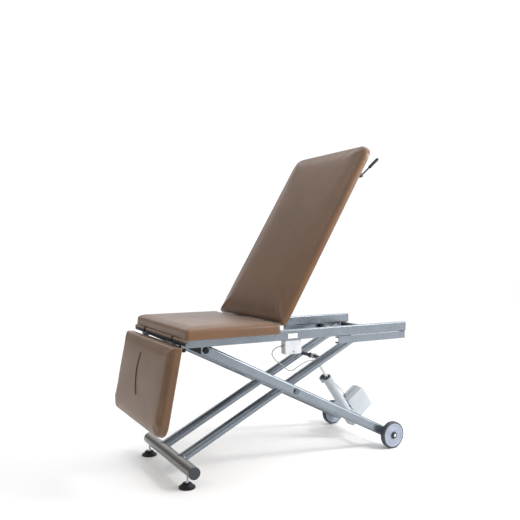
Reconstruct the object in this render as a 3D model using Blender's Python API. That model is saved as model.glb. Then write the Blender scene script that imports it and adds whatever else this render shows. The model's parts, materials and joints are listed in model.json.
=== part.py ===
"""Height-adjustable examination couch: scissor frame, three-section top, actuator and gas spring.

Metres, +Z up. X runs from the foot pads (X = 0) to the wheels, the near side is -Y.
The last lines move the whole couch so that the origin is the bottom centre of its box.
"""

import math

import bmesh
import bpy
from mathutils import Matrix, Vector

CLEAR = 0.0003
BORE_HALF = 0.05
EDGE = 0.002
ROUND = 32
SMALL_ROUND = 24
SHARP_ANGLE = math.radians(35)
SIDES = (("near", -1), ("far", 1))

# Foot pads and levelling spindles
PAD_Y = 0.2685
BALL_Z = 0.022
BALL_R = 0.008
SOCKET_R = 0.0083
SOCKET_MOUTH = math.radians(30)
SOCKET_START = math.radians(-86)
BALL_STEPS = 6
BALL_BOTTOM = math.pi - 0.1
PAD_PROFILE = ((0.012, 0.0262), (0.020, 0.0245), (0.025, 0.019), (0.030, 0.012),
               (0.0385, 0.0085), (0.040, 0.0072), (0.040, 0.001), (0.039, 0.0))
SPINDLE_TILT = math.radians(16.47)
SPINDLE_NECK_R = 0.004
SPINDLE_R = 0.006
NECK_END = 0.010
NUT_START = 0.0215
NUT_END = 0.0295
NUT_R = 0.0105

# Foot bar
BAR_X = 0.017
BAR_Z = 0.0795
BAR_R = 0.030
BAR_WALL = 0.003
BAR_HALF = 0.316
BAR_CAP_END = 0.3207
BAR_CAP_PLUG = 0.300
BAR_CAP_EDGE = 0.0012

# Scissor
ARM_ANGLE = math.radians(26.31)
PIVOT_X = 0.625
PIVOT_Z = 0.384
PIN_REACH = 0.580
AXLE_REACH = 0.6972
INNER_Y = 0.120
INNER_R = 0.024
INNER_WALL = 0.0025
INNER_FOOT_REACH = 0.690
INNER_TOP_EXTRA = 0.025
ARM_IN = 0.2225
ARM_OUT = 0.2525
ARM_HALF_HEIGHT = 0.0275
ARM_WALL = 0.0025
ARM_CORNER = 0.0135
ARM_END_EXTRA = 0.022
ARM_OPEN_EXTRA = 0.075
ARM_CUT_X = 0.0808
ARM_CUT_Y = (0.2, 0.3)
ARM_CUT_Z = (0.5, 0.8)
CAP_OUTLINE = ((0.0805, 0.6243), (0.0805, 0.6830), (0.046, 0.6830), (0.0123, 0.6620),
               (0.0123, 0.6580))
PIVOT_SHAFT_R = 0.010
PIVOT_HEAD_R = 0.0155
PIVOT_HEAD_END = 0.2608
CROSS_BAR_REACH = 0.295
CROSS_BAR_R = 0.0105
MOUNT_REACH = 0.6013
MOUNT_BAR_R = 0.0125
ROLLER_AXLE_R = 0.008
ROLLER_AXLE_END = 0.2797
ROLLER_R = 0.016
ROLLER_IN = 0.258
ROLLER_OUT = 0.2775

# Wheels
WHEEL_AXLE_R = 0.010
WHEEL_AXLE_HEAD_R = 0.0135
WHEEL_IN = 0.2713
WHEEL_OUT = 0.3013
DISC_R = 0.0655
TYRE_R = 0.075
TYRE_SHOULDER = 0.005
TYRE_EDGE = 0.0015
TYRE_EDGE_Y = 0.0018
RIM_R = 0.0575
RIM_BEVEL_R = 0.0555
DISC_SINK_IN = 0.003
DISC_SINK_OUT = 0.002
HUB_R = 0.017
AXLE_HEAD_END = 0.309

# Top frame
RAIL_IN = 0.254
RAIL_OUT = 0.284
RAIL_LOW = 0.6628
RAIL_HIGH = 0.714
RAIL_FRONT = -0.0334
RAIL_REAR = 1.3455
RAIL_WALL = 0.0025
RAIL_CORNER = 0.004
RAIL_CAP_END = 1.3495
RAIL_CAP_PLUG = 1.330
BETWEEN_RAILS = 0.2537
GUIDE_FRONT = 0.8727
GUIDE_REAR = 1.345
GUIDE_LOW = 0.6213
GUIDE_HIGH = 0.6605
GUIDE_WALL = 0.003
GUIDE_SPACER = 0.015
SPACER_TOP = 0.6625
FRONT_MEMBER = (-0.012, 0.012, 0.667, 0.712)
PIVOT_TUBE = (0.150, 0.190, 0.674, 0.7137)
HINGE_TUBE = (0.463, 0.493, 0.668, 0.698)
REAR_TUBE = (1.29, 1.32, 0.6216, 0.6602)
TUBE_WALL = 0.0025
TUBE_CORNER = 0.003
PLATE_OUTLINE = ((0.1497, 0.710), (0.1497, 0.662), (0.128, 0.628), (0.114, 0.6215),
                 (0.0965, 0.6215), (0.086, 0.632), (0.086, 0.650), (0.122, 0.710))
PLATE_IN = 0.205
PLATE_OUT = 0.2115
PLATE_SHOULDER_R = 0.014
PLATE_SHOULDER_END = 0.2222
PLATE_PIN_END = 0.2545
LEG_SHAFT_R = 0.008
STOP_BAR = (-0.0284, -0.0114, 0.6467, 0.6625)
STOP_BAR_CORNER = 0.0015
PIN_PROUD = 0.003

# Back hinge
HINGE_X = 0.478
HINGE_Z = 0.715
BACK_ANGLE = math.radians(59.2)
LUG_IN = 0.197
LUG_OUT = 0.203
LUG_OUTLINE = ((0.469, 0.697), (0.487, 0.697), (0.488, 0.715), (0.4851, 0.7221),
               (0.478, 0.725), (0.4709, 0.7221), (0.468, 0.715))
HINGE_PIN_R = 0.005
HINGE_PIN_END = 0.214
BACK_ARM_IN = 0.2055
BACK_ARM_OUT = 0.2105
BACK_ARM_EYE_R = 0.0105
BACK_ARM_LOW = -0.0138
BACK_ARM_HIGH = -0.0008
BACK_ARM_START = 0.012
BACK_ARM_LENGTH = 0.150

# Upholstered sections
HALF_WIDTH = 0.36
BOARD_INSET = 0.010
BOARD_THICK = 0.012
PAD_ROUND = 0.018
PAD_ROUND_STEPS = 4
CORNER_STEPS = 6
SEAT_BOX = (-0.0409, 0.4668, 0.7143, 0.764)
SMALL_CORNER = 0.010
BACK_BOX = (0.038, 1.124, -0.0005, 0.0488)
BACK_FOOT_CORNER = 0.015
BACK_HEAD_CORNER = 0.080
LEG_X = -0.028
LEG_Z = 0.687
LEG_ANGLE = math.radians(79.25)
LEG_BOX = (0.017, 0.431, 0.0251, 0.0771)
LEG_FOOT_CORNER = 0.070
LEG_TOP_CORNER = 0.012
LEG_ARM_IN = 0.1975
LEG_ARM_OUT = 0.2025
LEG_ARM_EYE_R = 0.012
LEG_ARM_LENGTH = 0.150
LEG_ARM_LOW = -0.0037
LEG_ARM_HIGH = 0.0248
LEG_ARM_TIP = 0.012
SLOT_PATH = ((0.098, 0.032), (0.125, 0.0385), (0.150, 0.0435), (0.175, 0.0448),
             (0.205, 0.040), (0.235, 0.0305), (0.262, 0.0195), (0.280, 0.0075), (0.292, -0.004))
SLOT_HALF = 0.0068

# Gas spring
GAS_X = 0.165
GAS_Z = 0.650
GAS_REACH = 0.070
GAS_BEARING = math.radians(-60)
GAS_EYE_R = 0.0105
GAS_EYE_HALF = 0.006
GAS_PIN_R = 0.005
GAS_LUG_IN = 0.0072
GAS_LUG_OUT = 0.0112
GAS_LUG = ((0.153, 0.6755), (0.177, 0.6755), (0.177, 0.650), (0.1735, 0.6415), (0.165, 0.638),
           (0.1565, 0.6415), (0.153, 0.650))
CYLINDER_R = 0.014
CYLINDER_BORE = 0.0125
CYLINDER_START = 0.016
CYLINDER_FLOOR = 0.030
CYLINDER_END = 0.215
GAS_ROD_R = 0.004
GAS_ROD_LENGTH = 0.200
GAS_ROD_EYE_R = 0.009
GAS_NECK_HALF = 0.007
GAS_END_BEVEL = 0.003
HOOK_OUTLINE = ((0.045, -0.0008), (0.100, -0.0008), (0.100, -0.012), (0.060, -0.052),
                (0.030, -0.073), (-0.034, -0.0715), (-0.0415, -0.068), (-0.0445, -0.061),
                (-0.0415, -0.054), (-0.030, -0.0535), (0.028, -0.0535), (0.041, -0.036),
                (0.045, -0.020))
HOOK_IN = 0.0085
HOOK_OUT = 0.0135
HOOK_WEB = (0.070, 0.098, -0.0045, -0.0012)

# Release lever and cable, measured along the back and out from its hinge
LEVER_X = 0.955
LEVER_N = -0.016
LEVER_TIP_X = 1.0968
LEVER_TIP_N = -0.0632
LEVER_Y = -0.3398
LEVER_R = 0.0045
LEVER_GRIP_R = 0.0085
LEVER_GRIP_START = 0.070
LEVER_GRIP_TAPER = 0.004
LEVER_GRIP_BEVEL = 0.003
LEVER_HUB_R = 0.010
LEVER_HUB_HALF = 0.005
LEVER_PIN_R = 0.004
LEVER_EAR = ((0.935, -0.0008), (0.985, -0.0008), (0.966, -0.020), (0.960, -0.0245),
             (0.950, -0.0245), (0.944, -0.020))
EAR_Y = (-0.3345, -0.3300)
LEVER_PIN_Y = (-0.3475, -0.3320)
CABLE_R = 0.0025
CABLE_N = -0.0042
RELEASE_PATH = ((0.950, -0.322), (0.948, -0.300), (0.942, -0.270), (0.925, -0.240),
                (0.890, -0.215), (0.840, -0.200), (0.700, -0.165), (0.500, -0.110),
                (0.350, -0.065), (0.220, -0.030), (0.150, -0.008), (0.104, 0.000))

# Actuator
ACTUATOR_Y = -0.030
TUBE_OFFSET = -0.005
ACTUATOR_R = 0.0275
ACTUATOR_BORE = 0.026
ACTUATOR_START = 0.055
ACTUATOR_FLOOR = 0.064
ACTUATOR_END = 0.327
GEARBOX = (-0.022, 0.0615, -0.034, 0.034)
GEARBOX_HALF = 0.0275
GEARBOX_BEVEL = 0.006
MOTOR = (-0.040, 0.100, 0.035, 0.174)
MOTOR_Y = (-0.020, 0.070)
MOTOR_BEVEL = 0.014
MOTOR_EDGE = 0.004
GEARBOX_PROUD = 0.001
ROD_R = 0.010
ROD_LENGTH = 0.300
ROD_EYE_R = 0.018
ROD_EYE_HALF = 0.010

# Control box, blank plate and cable
BOX_X = (0.540, 0.642)
BOX_Y = (-0.276, -0.238)
BOX_Z = (0.587, 0.6623)
BOX_CORNER = 0.006
BOX_EDGE = 0.003
LABEL_X = (0.5524, 0.6097)
LABEL_Z = (0.672, 0.6957)
LABEL_THICK = 0.0012
CONTROL_PATH = ((0.5372, -0.257, 0.629), (0.515, -0.252, 0.628), (0.500, -0.240, 0.617),
                (0.496, -0.225, 0.602), (0.500, -0.211, 0.585), (0.516, -0.198, 0.565),
                (0.541, -0.183, 0.5435), (0.572, -0.165, 0.525), (0.605, -0.149, 0.504),
                (0.633, -0.134, 0.484), (0.664, -0.119, 0.468), (0.695, -0.106, 0.4655),
                (0.725, -0.091, 0.472), (0.758, -0.076, 0.4779), (0.795, -0.055, 0.478),
                (0.845, -0.020, 0.470), (0.900, 0.010, 0.450), (0.960, 0.030, 0.415),
                (1.020, 0.040, 0.370), (1.080, 0.040, 0.322), (1.122, 0.040, 0.290),
                (1.1375, 0.040, 0.2765))
CORD_SPACING = 0.016
BEVEL_SEGMENTS = 3

PAINTS = {
    "frame_grey": ((0.30, 0.33, 0.36), 0.6, 0.42),
    "bar_grey": ((0.22, 0.22, 0.22), 0.6, 0.45),
    "vinyl_brown": ((0.17, 0.10, 0.06), 0.0, 0.5),
    "board_wood": ((0.30, 0.20, 0.12), 0.0, 0.7),
    "black_plastic": ((0.01, 0.011, 0.013), 0.0, 0.5),
    "dark_steel": ((0.04, 0.045, 0.05), 0.7, 0.4),
    "bright_steel": ((0.65, 0.65, 0.66), 1.0, 0.22),
    "zinc_steel": ((0.45, 0.46, 0.47), 0.9, 0.35),
    "wheel_grey": ((0.34, 0.37, 0.46), 0.0, 0.5),
    "tyre_grey": ((0.05, 0.055, 0.06), 0.0, 0.75),
    "actuator_grey": ((0.55, 0.60, 0.66), 0.1, 0.4),
    "box_white": ((0.74, 0.77, 0.80), 0.0, 0.4),
    "label_white": ((0.85, 0.86, 0.87), 0.0, 0.4),
    "cable_grey": ((0.30, 0.30, 0.30), 0.0, 0.55),
}

COS = math.cos(ARM_ANGLE)
SIN = math.sin(ARM_ANGLE)
PIN_X = PIVOT_X - PIN_REACH * COS
PIN_Z = PIVOT_Z + PIN_REACH * SIN
ROLLER_X = PIVOT_X + PIN_REACH * COS
AXLE_X = PIVOT_X + AXLE_REACH * COS
AXLE_Z = PIVOT_Z - AXLE_REACH * SIN
MOUNT_X = PIVOT_X + MOUNT_REACH * COS
MOUNT_Z = PIVOT_Z - MOUNT_REACH * SIN
BAR_END_X = PIVOT_X + CROSS_BAR_REACH * COS
BAR_END_Z = PIVOT_Z + CROSS_BAR_REACH * SIN
ACTUATOR_ANGLE = math.atan2(BAR_END_Z - MOUNT_Z, BAR_END_X - MOUNT_X)
GAS_END_X = HINGE_X + GAS_REACH * math.cos(GAS_BEARING)
GAS_END_Z = HINGE_Z + GAS_REACH * math.sin(GAS_BEARING)
GAS_ANGLE = math.atan2(GAS_END_Z - GAS_Z, GAS_END_X - GAS_X)


def circle(radius, count=ROUND, start=0.0):
    turn = 2 * math.pi / count
    return [(radius * math.cos(start + k * turn), radius * math.sin(start + k * turn))
            for k in range(count)]


def hexagon(radius, count=SMALL_ROUND):
    """A hexagon with extra points on its sides, so that it can follow a circle in a loft."""
    sixth = math.pi / 3
    points = []
    for k in range(count):
        angle = 2 * math.pi * k / count
        reach = radius * math.cos(sixth / 2) / math.cos(angle % sixth - sixth / 2)
        points.append((reach * math.cos(angle), reach * math.sin(angle)))
    return points


def rounded(a_low, a_high, b_low, b_high, corner_low, corner_high, inset=0.0):
    """Rectangle whose two corners at a_low have one radius and the two at a_high another."""
    points = []
    corners = ((a_high, b_high, -1, -1, corner_high), (a_low, b_high, 1, -1, corner_low),
               (a_low, b_low, 1, 1, corner_low), (a_high, b_low, -1, 1, corner_high))
    for quarter, (a, b, toward_a, toward_b, corner) in enumerate(corners):
        radius = max(corner - inset, CLEAR)
        centre_a = a + toward_a * (inset + radius)
        centre_b = b + toward_b * (inset + radius)
        for step in range(CORNER_STEPS + 1):
            angle = math.pi / 2 * (quarter + step / CORNER_STEPS)
            points.append((centre_a + radius * math.cos(angle),
                           centre_b + radius * math.sin(angle)))
    return points


def ring(points, axis, along):
    if axis == "X":
        return [(along, a, b) for a, b in points]
    if axis == "Y":
        return [(a, along, b) for a, b in points]
    return [(a, b, along) for a, b in points]


def loft(rings, closed=False):
    """Skin through rings of equal count, capped at both ends unless they close into a loop."""
    bm = bmesh.new()
    loops = [[bm.verts.new(co) for co in points] for points in rings]
    pairs = list(zip(loops, loops[1:]))
    if closed:
        pairs.append((loops[-1], loops[0]))
    else:
        bm.faces.new(loops[0])
        bm.faces.new(loops[-1])
    for one, two in pairs:
        for k in range(len(one)):
            after = (k + 1) % len(one)
            bm.faces.new((one[k], one[after], two[after], two[k]))
    bmesh.ops.recalc_face_normals(bm, faces=bm.faces)
    return bm


def prism(outline, axis, low, high):
    return loft([ring(outline, axis, low), ring(outline, axis, high)])


def lathe(profile, axis, closed=False, count=ROUND):
    return loft([ring(circle(radius, count), axis, along) for radius, along in profile], closed)


def pipe(outer, inner, axis, low, high):
    return loft([ring(outer, axis, low), ring(outer, axis, high),
                 ring(inner, axis, high), ring(inner, axis, low)], closed=True)


def box(x_low, x_high, y_low, y_high, z_low, z_high, corner=CLEAR):
    outline = rounded(x_low, x_high, y_low, y_high, corner, corner)
    return prism(outline, "Z", z_low, z_high)


def placed(bm, x, z, angle=0.0, y=0.0):
    """Turn about Y so that local +X points up at the angle, then move."""
    bm.transform(Matrix.Translation((x, y, z)) @ Matrix.Rotation(-angle, 4, "Y"))
    return bm


def rod_across(radius, x, z, y_low, y_high, count=SMALL_ROUND):
    return placed(lathe(((radius, y_low), (radius, y_high)), "Y", count=count), x, z)


def combined(body, tool, operation):
    """Join one closed shape to another, or cut it away."""
    holders = []
    for bm in (body, tool):
        mesh = bpy.data.meshes.new("shape")
        bm.to_mesh(mesh)
        bm.free()
        holder = bpy.data.objects.new("shape", mesh)
        bpy.context.scene.collection.objects.link(holder)
        holders.append(holder)
    boolean = holders[0].modifiers.new("combine", "BOOLEAN")
    boolean.operation = operation
    boolean.solver = "EXACT"
    boolean.object = holders[1]
    bpy.context.view_layer.update()
    graph = bpy.context.evaluated_depsgraph_get()
    result = bmesh.new()
    result.from_object(holders[0], graph)
    for holder in holders:
        bpy.data.objects.remove(holder)
    return result


def cut(body, tool):
    return combined(body, tool, "DIFFERENCE")


def joined(body, tool):
    return combined(body, tool, "UNION")


def world_of(empty):
    matrix = empty.matrix_basis.copy()
    while empty.parent:
        empty = empty.parent
        matrix = empty.matrix_basis @ matrix
    return matrix


def frame(name, parent=None, x=0.0, z=0.0, angle=0.0, y=0.0):
    """An empty on a joint's axis, for the pieces that move with it."""
    empty = bpy.data.objects.new(name + "_frame", None)
    bpy.context.scene.collection.objects.link(empty)
    world = Matrix.Translation((x, y, z)) @ Matrix.Rotation(-angle, 4, "Y")
    if parent:
        world = world_of(parent).inverted() @ world
    empty.parent = parent
    empty.matrix_basis = world
    return empty


def painted(name):
    material = bpy.data.materials.get(name)
    if material:
        return material
    colour, metallic, roughness = PAINTS[name]
    material = bpy.data.materials.new(name)
    material.use_nodes = True
    shader = material.node_tree.nodes["Principled BSDF"]
    shader.inputs["Base Color"].default_value = (*colour, 1.0)
    shader.inputs["Metallic"].default_value = metallic
    shader.inputs["Roughness"].default_value = roughness
    return material


def node(name, bm, parent, paint, local=False):
    """One named piece, from a shape in couch space or in its frame's own space."""
    if not local:
        bm.transform(world_of(parent).inverted())
    bmesh.ops.remove_doubles(bm, verts=bm.verts, dist=1e-6)
    mesh = bpy.data.meshes.new(name)
    bm.to_mesh(mesh)
    bm.free()
    mesh.shade_smooth()
    mesh.set_sharp_from_angle(angle=SHARP_ANGLE)
    mesh.materials.append(painted(paint))
    piece = bpy.data.objects.new(name, mesh)
    bpy.context.scene.collection.objects.link(piece)
    piece.parent = parent
    return piece


def plate(outline, side, inner, outer):
    low, high = sorted((side * inner, side * outer))
    return prism(outline, "Y", low, high)


def side_box(x_low, x_high, side, inner, outer, z_low, z_high, corner=CLEAR):
    low, high = sorted((side * inner, side * outer))
    return box(x_low, x_high, low, high, z_low, z_high, corner)


def between(box_xz):
    """Hollow cross tube from one rail to the other."""
    x_low, x_high, z_low, z_high = box_xz
    outer = rounded(x_low, x_high, z_low, z_high, TUBE_CORNER, TUBE_CORNER)
    inner = rounded(x_low + TUBE_WALL, x_high - TUBE_WALL, z_low + TUBE_WALL,
                    z_high - TUBE_WALL, CLEAR, CLEAR)
    return pipe(outer, inner, "Y", -BETWEEN_RAILS, BETWEEN_RAILS)


def smooth_path(route, spacing):
    """Even points along a Catmull-Rom curve through the route."""
    knots = [Vector(point) for point in route]
    ends = [2 * knots[0] - knots[1]] + knots + [2 * knots[-1] - knots[-2]]
    points = []
    for before, one, two, after in zip(ends, ends[1:], ends[2:], ends[3:]):
        steps = max(1, round((two - one).length / spacing))
        for step in range(steps):
            t = step / steps
            points.append(0.5 * (2 * one + (two - before) * t
                                 + (2 * before - 5 * one + 4 * two - after) * t * t
                                 + (3 * one - before - 3 * two + after) * t ** 3))
    points.append(knots[-1])
    return points


def cord(name, route, radius, parent, paint, local=False):
    curve = bpy.data.curves.new(name, "CURVE")
    curve.dimensions = "3D"
    curve.bevel_depth = radius
    curve.bevel_resolution = BEVEL_SEGMENTS
    curve.use_fill_caps = True
    spline = curve.splines.new("POLY")
    to_local = Matrix.Identity(4) if local else world_of(parent).inverted()
    points = [to_local @ point for point in smooth_path(route, CORD_SPACING)]
    spline.points.add(len(points) - 1)
    for spot, point in zip(spline.points, points):
        spot.co = (*point, 1.0)
    curve.materials.append(painted(paint))
    piece = bpy.data.objects.new(name, curve)
    bpy.context.scene.collection.objects.link(piece)
    piece.parent = parent
    return piece


def cushion(x_low, x_high, low, high, corner_low, corner_high):
    """Padded block with a pocket in its underside for the board."""
    def edge(inset, along):
        return ring(rounded(x_low, x_high, -HALF_WIDTH, HALF_WIDTH, corner_low, corner_high,
                            inset), "Z", along)
    floor = low + BOARD_THICK + CLEAR
    rings = [edge(BOARD_INSET, floor), edge(BOARD_INSET, low), edge(0.0, low)]
    for step in range(PAD_ROUND_STEPS + 1):
        turn = math.pi / 2 * step / PAD_ROUND_STEPS
        rings.append(edge(PAD_ROUND * (1 - math.cos(turn)), high - PAD_ROUND * (1 - math.sin(turn))))
    return loft(rings)


def board(x_low, x_high, low, corner_low, corner_high):
    outline = rounded(x_low, x_high, -HALF_WIDTH, HALF_WIDTH, corner_low, corner_high,
                      BOARD_INSET + CLEAR)
    return prism(outline, "Z", low, low + BOARD_THICK)


def eye_arm(radius, bar):
    """Outline of a flat arm: a round eye at the origin running into a bar along +X."""
    start, end, low, high = bar
    tip_low = (end, low)
    tip_high = (end, high)
    arc = [(radius * math.cos(math.radians(angle)), radius * math.sin(math.radians(angle)))
           for angle in range(60, 301, 15)]
    return arc + [(start, low), tip_low, tip_high, (start, high)]


for old in list(bpy.data.objects):
    bpy.data.objects.remove(old)

# One frame for each moving section
couch = frame("couch")
feet = frame("feet", couch)
inner = frame("inner_arms", feet, z=BALL_Z)
outer = frame("outer_arms", inner, PIVOT_X, PIVOT_Z)
top = frame("top_frame", outer, PIN_X, PIN_Z)
back = frame("back", top, HINGE_X, HINGE_Z, BACK_ANGLE)
leg = frame("leg", top, LEG_X, LEG_Z, LEG_ANGLE)
lever = frame("release_lever", back)
lever.matrix_basis = Matrix.Translation((LEVER_X, LEVER_Y, LEVER_N))
tube_frame = frame("actuator_tube", outer, MOUNT_X, MOUNT_Z, ACTUATOR_ANGLE, ACTUATOR_Y)
rod_frame = frame("actuator_rod", inner, BAR_END_X, BAR_END_Z, ACTUATOR_ANGLE, ACTUATOR_Y)
cylinder_frame = frame("gas_cylinder", top, GAS_X, GAS_Z, GAS_ANGLE)
gas_rod_frame = frame("gas_rod", back, GAS_END_X, GAS_END_Z, GAS_ANGLE)

# Feet and foot bar
socket = []
for step in range(BALL_STEPS + 1):
    turn = SOCKET_START + (SOCKET_MOUTH - SOCKET_START) * step / BALL_STEPS
    socket.append((SOCKET_R * math.cos(turn), BALL_Z + SOCKET_R * math.sin(turn)))
ball = []
ball_top = math.asin(SPINDLE_NECK_R / BALL_R)
for step in range(BALL_STEPS + 1):
    turn = BALL_BOTTOM + (ball_top - BALL_BOTTOM) * step / BALL_STEPS
    ball.append((BALL_R * math.sin(turn), BALL_R * math.cos(turn)))
stem = ball + [(SPINDLE_NECK_R, NECK_END), (SPINDLE_R, NECK_END + CLEAR), (SPINDLE_R, NUT_START)]
spindle_tilt = Matrix.Rotation(SPINDLE_TILT, 4, "Y")
bar_outer = [(BAR_X + a, BAR_Z + b) for a, b in circle(BAR_R)]
bar_inner = [(BAR_X + a, BAR_Z + b) for a, b in circle(BAR_R - BAR_WALL)]
node("foot_bar", pipe(bar_outer, bar_inner, "Y", -BAR_HALF, BAR_HALF), inner, "bar_grey")
for name, side in SIDES:
    pad = lathe(socket + list(PAD_PROFILE), "Z")
    pad.transform(Matrix.Translation((0, side * PAD_Y, 0)))
    node("foot_pad_" + name, pad, feet, "black_plastic")
    rings = [ring(circle(radius, SMALL_ROUND), "Z", along) for radius, along in stem]
    rings += [ring(hexagon(NUT_R), "Z", along) for along in (NUT_START + CLEAR, NUT_END)]
    spindle = loft(rings)
    spindle.transform(Matrix.Translation((0, side * PAD_Y, BALL_Z)) @ spindle_tilt)
    node("levelling_spindle_" + name, spindle, inner, "bright_steel")
    plug = BAR_R - BAR_WALL - CLEAR
    profile = ((plug, side * BAR_CAP_PLUG), (plug, side * (BAR_HALF + CLEAR)),
               (BAR_R, side * (BAR_HALF + CLEAR)), (BAR_R, side * (BAR_CAP_END - BAR_CAP_EDGE)),
               (BAR_R - BAR_CAP_EDGE, side * BAR_CAP_END))
    node("foot_bar_cap_" + name, placed(lathe(profile, "Y"), BAR_X, BAR_Z), inner, "dark_steel")

# Inner arms
tube_low = -INNER_FOOT_REACH
tube_high = PIN_REACH + INNER_TOP_EXTRA
hollow_r = INNER_R - INNER_WALL
for name, side in SIDES:
    y = side * INNER_Y
    profile = ((hollow_r, tube_high - INNER_WALL), (hollow_r, tube_low), (INNER_R, tube_low),
               (INNER_R, tube_high - EDGE), (INNER_R - EDGE, tube_high))
    tube = placed(lathe(profile, "X"), PIVOT_X, PIVOT_Z, ARM_ANGLE, y)
    for radius, x, z in ((BAR_R, BAR_X, BAR_Z), (PIVOT_SHAFT_R, PIVOT_X, PIVOT_Z),
                         (ROLLER_AXLE_R, ROLLER_X, PIN_Z)):
        tube = cut(tube, rod_across(radius + CLEAR, x, z, y - BORE_HALF, y + BORE_HALF, ROUND))
    node("inner_tube_" + name, tube, inner, "frame_grey")
under_head = ARM_OUT + CLEAR
rings = [ring(hexagon(PIVOT_HEAD_R), "Y", -PIVOT_HEAD_END),
         ring(hexagon(PIVOT_HEAD_R), "Y", -under_head),
         ring(circle(PIVOT_SHAFT_R, SMALL_ROUND), "Y", -under_head),
         ring(circle(PIVOT_SHAFT_R, SMALL_ROUND), "Y", under_head),
         ring(hexagon(PIVOT_HEAD_R), "Y", under_head),
         ring(hexagon(PIVOT_HEAD_R), "Y", PIVOT_HEAD_END)]
node("pivot_shaft", placed(loft(rings), PIVOT_X, PIVOT_Z), inner, "zinc_steel")
crossing = rod_across(CROSS_BAR_R, BAR_END_X, BAR_END_Z, -INNER_Y, INNER_Y)
for _, side in SIDES:
    coping = lathe(((INNER_R + CLEAR, -BORE_HALF), (INNER_R + CLEAR, BORE_HALF)), "X")
    crossing = cut(crossing, placed(coping, BAR_END_X, BAR_END_Z, ARM_ANGLE, side * INNER_Y))
node("cross_bar", crossing, inner, "dark_steel")
node("roller_axle", rod_across(ROLLER_AXLE_R, ROLLER_X, PIN_Z, -ROLLER_AXLE_END,
                               ROLLER_AXLE_END), inner, "zinc_steel")

# Outer arms, wheels and rollers
arm_low = -AXLE_REACH - ARM_END_EXTRA
arm_high = PIN_REACH + ARM_OPEN_EXTRA
for name, side in SIDES:
    low, high = sorted((side * ARM_IN, side * ARM_OUT))
    half = ARM_HALF_HEIGHT
    wall = ARM_WALL
    section = rounded(low, high, -half, half, ARM_CORNER, ARM_CORNER)
    hollow = rounded(low + wall, high - wall, wall - half, half - wall, ARM_CORNER - wall,
                     ARM_CORNER - wall)
    arm = loft([ring(hollow, "X", arm_low + wall), ring(hollow, "X", arm_high),
                ring(section, "X", arm_high), ring(section, "X", arm_low)])
    arm.transform(Matrix.Rotation(math.pi, 4, "Z"))
    arm.transform(Matrix.Translation((0, side * (ARM_IN + ARM_OUT), 0)))
    arm = placed(arm, PIVOT_X, PIVOT_Z, -ARM_ANGLE)
    arm = cut(arm, side_box(-ARM_CUT_X, ARM_CUT_X, side, *ARM_CUT_Y, *ARM_CUT_Z))
    for radius, x, z in ((PIVOT_SHAFT_R, PIVOT_X, PIVOT_Z), (PIVOT_SHAFT_R, PIN_X, PIN_Z),
                         (WHEEL_AXLE_R, AXLE_X, AXLE_Z)):
        y_low, y_high = sorted((side * ARM_CUT_Y[0], side * ARM_CUT_Y[1]))
        arm = cut(arm, rod_across(radius + CLEAR, x, z, y_low, y_high))
    node("outer_arm_" + name, arm, outer, "frame_grey")
    node("arm_end_cap_" + name, plate(CAP_OUTLINE, side, ARM_IN, ARM_OUT), outer,
         "black_plastic")
    hub_in = side * (ARM_OUT + CLEAR)
    face_in = side * WHEEL_IN
    face_out = side * WHEEL_OUT
    bore = WHEEL_AXLE_R + CLEAR
    sunk_in = side * (WHEEL_IN + DISC_SINK_IN)
    sunk_out = side * (WHEEL_OUT - DISC_SINK_OUT)
    profile = ((bore, hub_in), (HUB_R, hub_in), (HUB_R, sunk_in), (RIM_BEVEL_R, sunk_in),
               (RIM_R, face_in), (DISC_R, face_in), (DISC_R, face_out), (RIM_R, face_out),
               (RIM_BEVEL_R, sunk_out), (HUB_R, sunk_out), (HUB_R, face_out), (bore, face_out))
    wheel = frame("wheel_" + name, outer, AXLE_X, AXLE_Z)
    node("wheel_" + name, placed(lathe(profile, "Y", True), AXLE_X, AXLE_Z), wheel, "wheel_grey")
    profile = ((DISC_R + CLEAR, face_in), (TYRE_R - TYRE_SHOULDER, face_in),
               (TYRE_R - TYRE_EDGE, side * (WHEEL_IN + TYRE_EDGE_Y)),
               (TYRE_R, side * (WHEEL_IN + TYRE_SHOULDER)),
               (TYRE_R, side * (WHEEL_OUT - TYRE_SHOULDER)),
               (TYRE_R - TYRE_EDGE, side * (WHEEL_OUT - TYRE_EDGE_Y)),
               (TYRE_R - TYRE_SHOULDER, face_out), (DISC_R + CLEAR, face_out))
    node("tyre_" + name, placed(lathe(profile, "Y", True), AXLE_X, AXLE_Z), wheel, "tyre_grey")
    roller = frame("guide_roller_" + name, inner, ROLLER_X, PIN_Z)
    profile = ((ROLLER_AXLE_R + CLEAR, side * ROLLER_IN), (ROLLER_R, side * ROLLER_IN),
               (ROLLER_R, side * ROLLER_OUT), (ROLLER_AXLE_R + CLEAR, side * ROLLER_OUT))
    node("guide_roller_" + name, placed(lathe(profile, "Y", True), ROLLER_X, PIN_Z), roller,
         "black_plastic")
node("actuator_mount_bar", rod_across(MOUNT_BAR_R, MOUNT_X, MOUNT_Z, -ARM_IN + CLEAR,
                                      ARM_IN - CLEAR), outer, "frame_grey")
head_start = WHEEL_OUT + CLEAR
profile = ((WHEEL_AXLE_HEAD_R - EDGE, -AXLE_HEAD_END), (WHEEL_AXLE_HEAD_R, EDGE - AXLE_HEAD_END),
           (WHEEL_AXLE_HEAD_R, -head_start), (WHEEL_AXLE_R, -head_start),
           (WHEEL_AXLE_R, head_start), (WHEEL_AXLE_HEAD_R, head_start),
           (WHEEL_AXLE_HEAD_R, AXLE_HEAD_END - EDGE), (WHEEL_AXLE_HEAD_R - EDGE, AXLE_HEAD_END))
node("wheel_axle", placed(lathe(profile, "Y", count=SMALL_ROUND), AXLE_X, AXLE_Z), outer,
     "zinc_steel")

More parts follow.
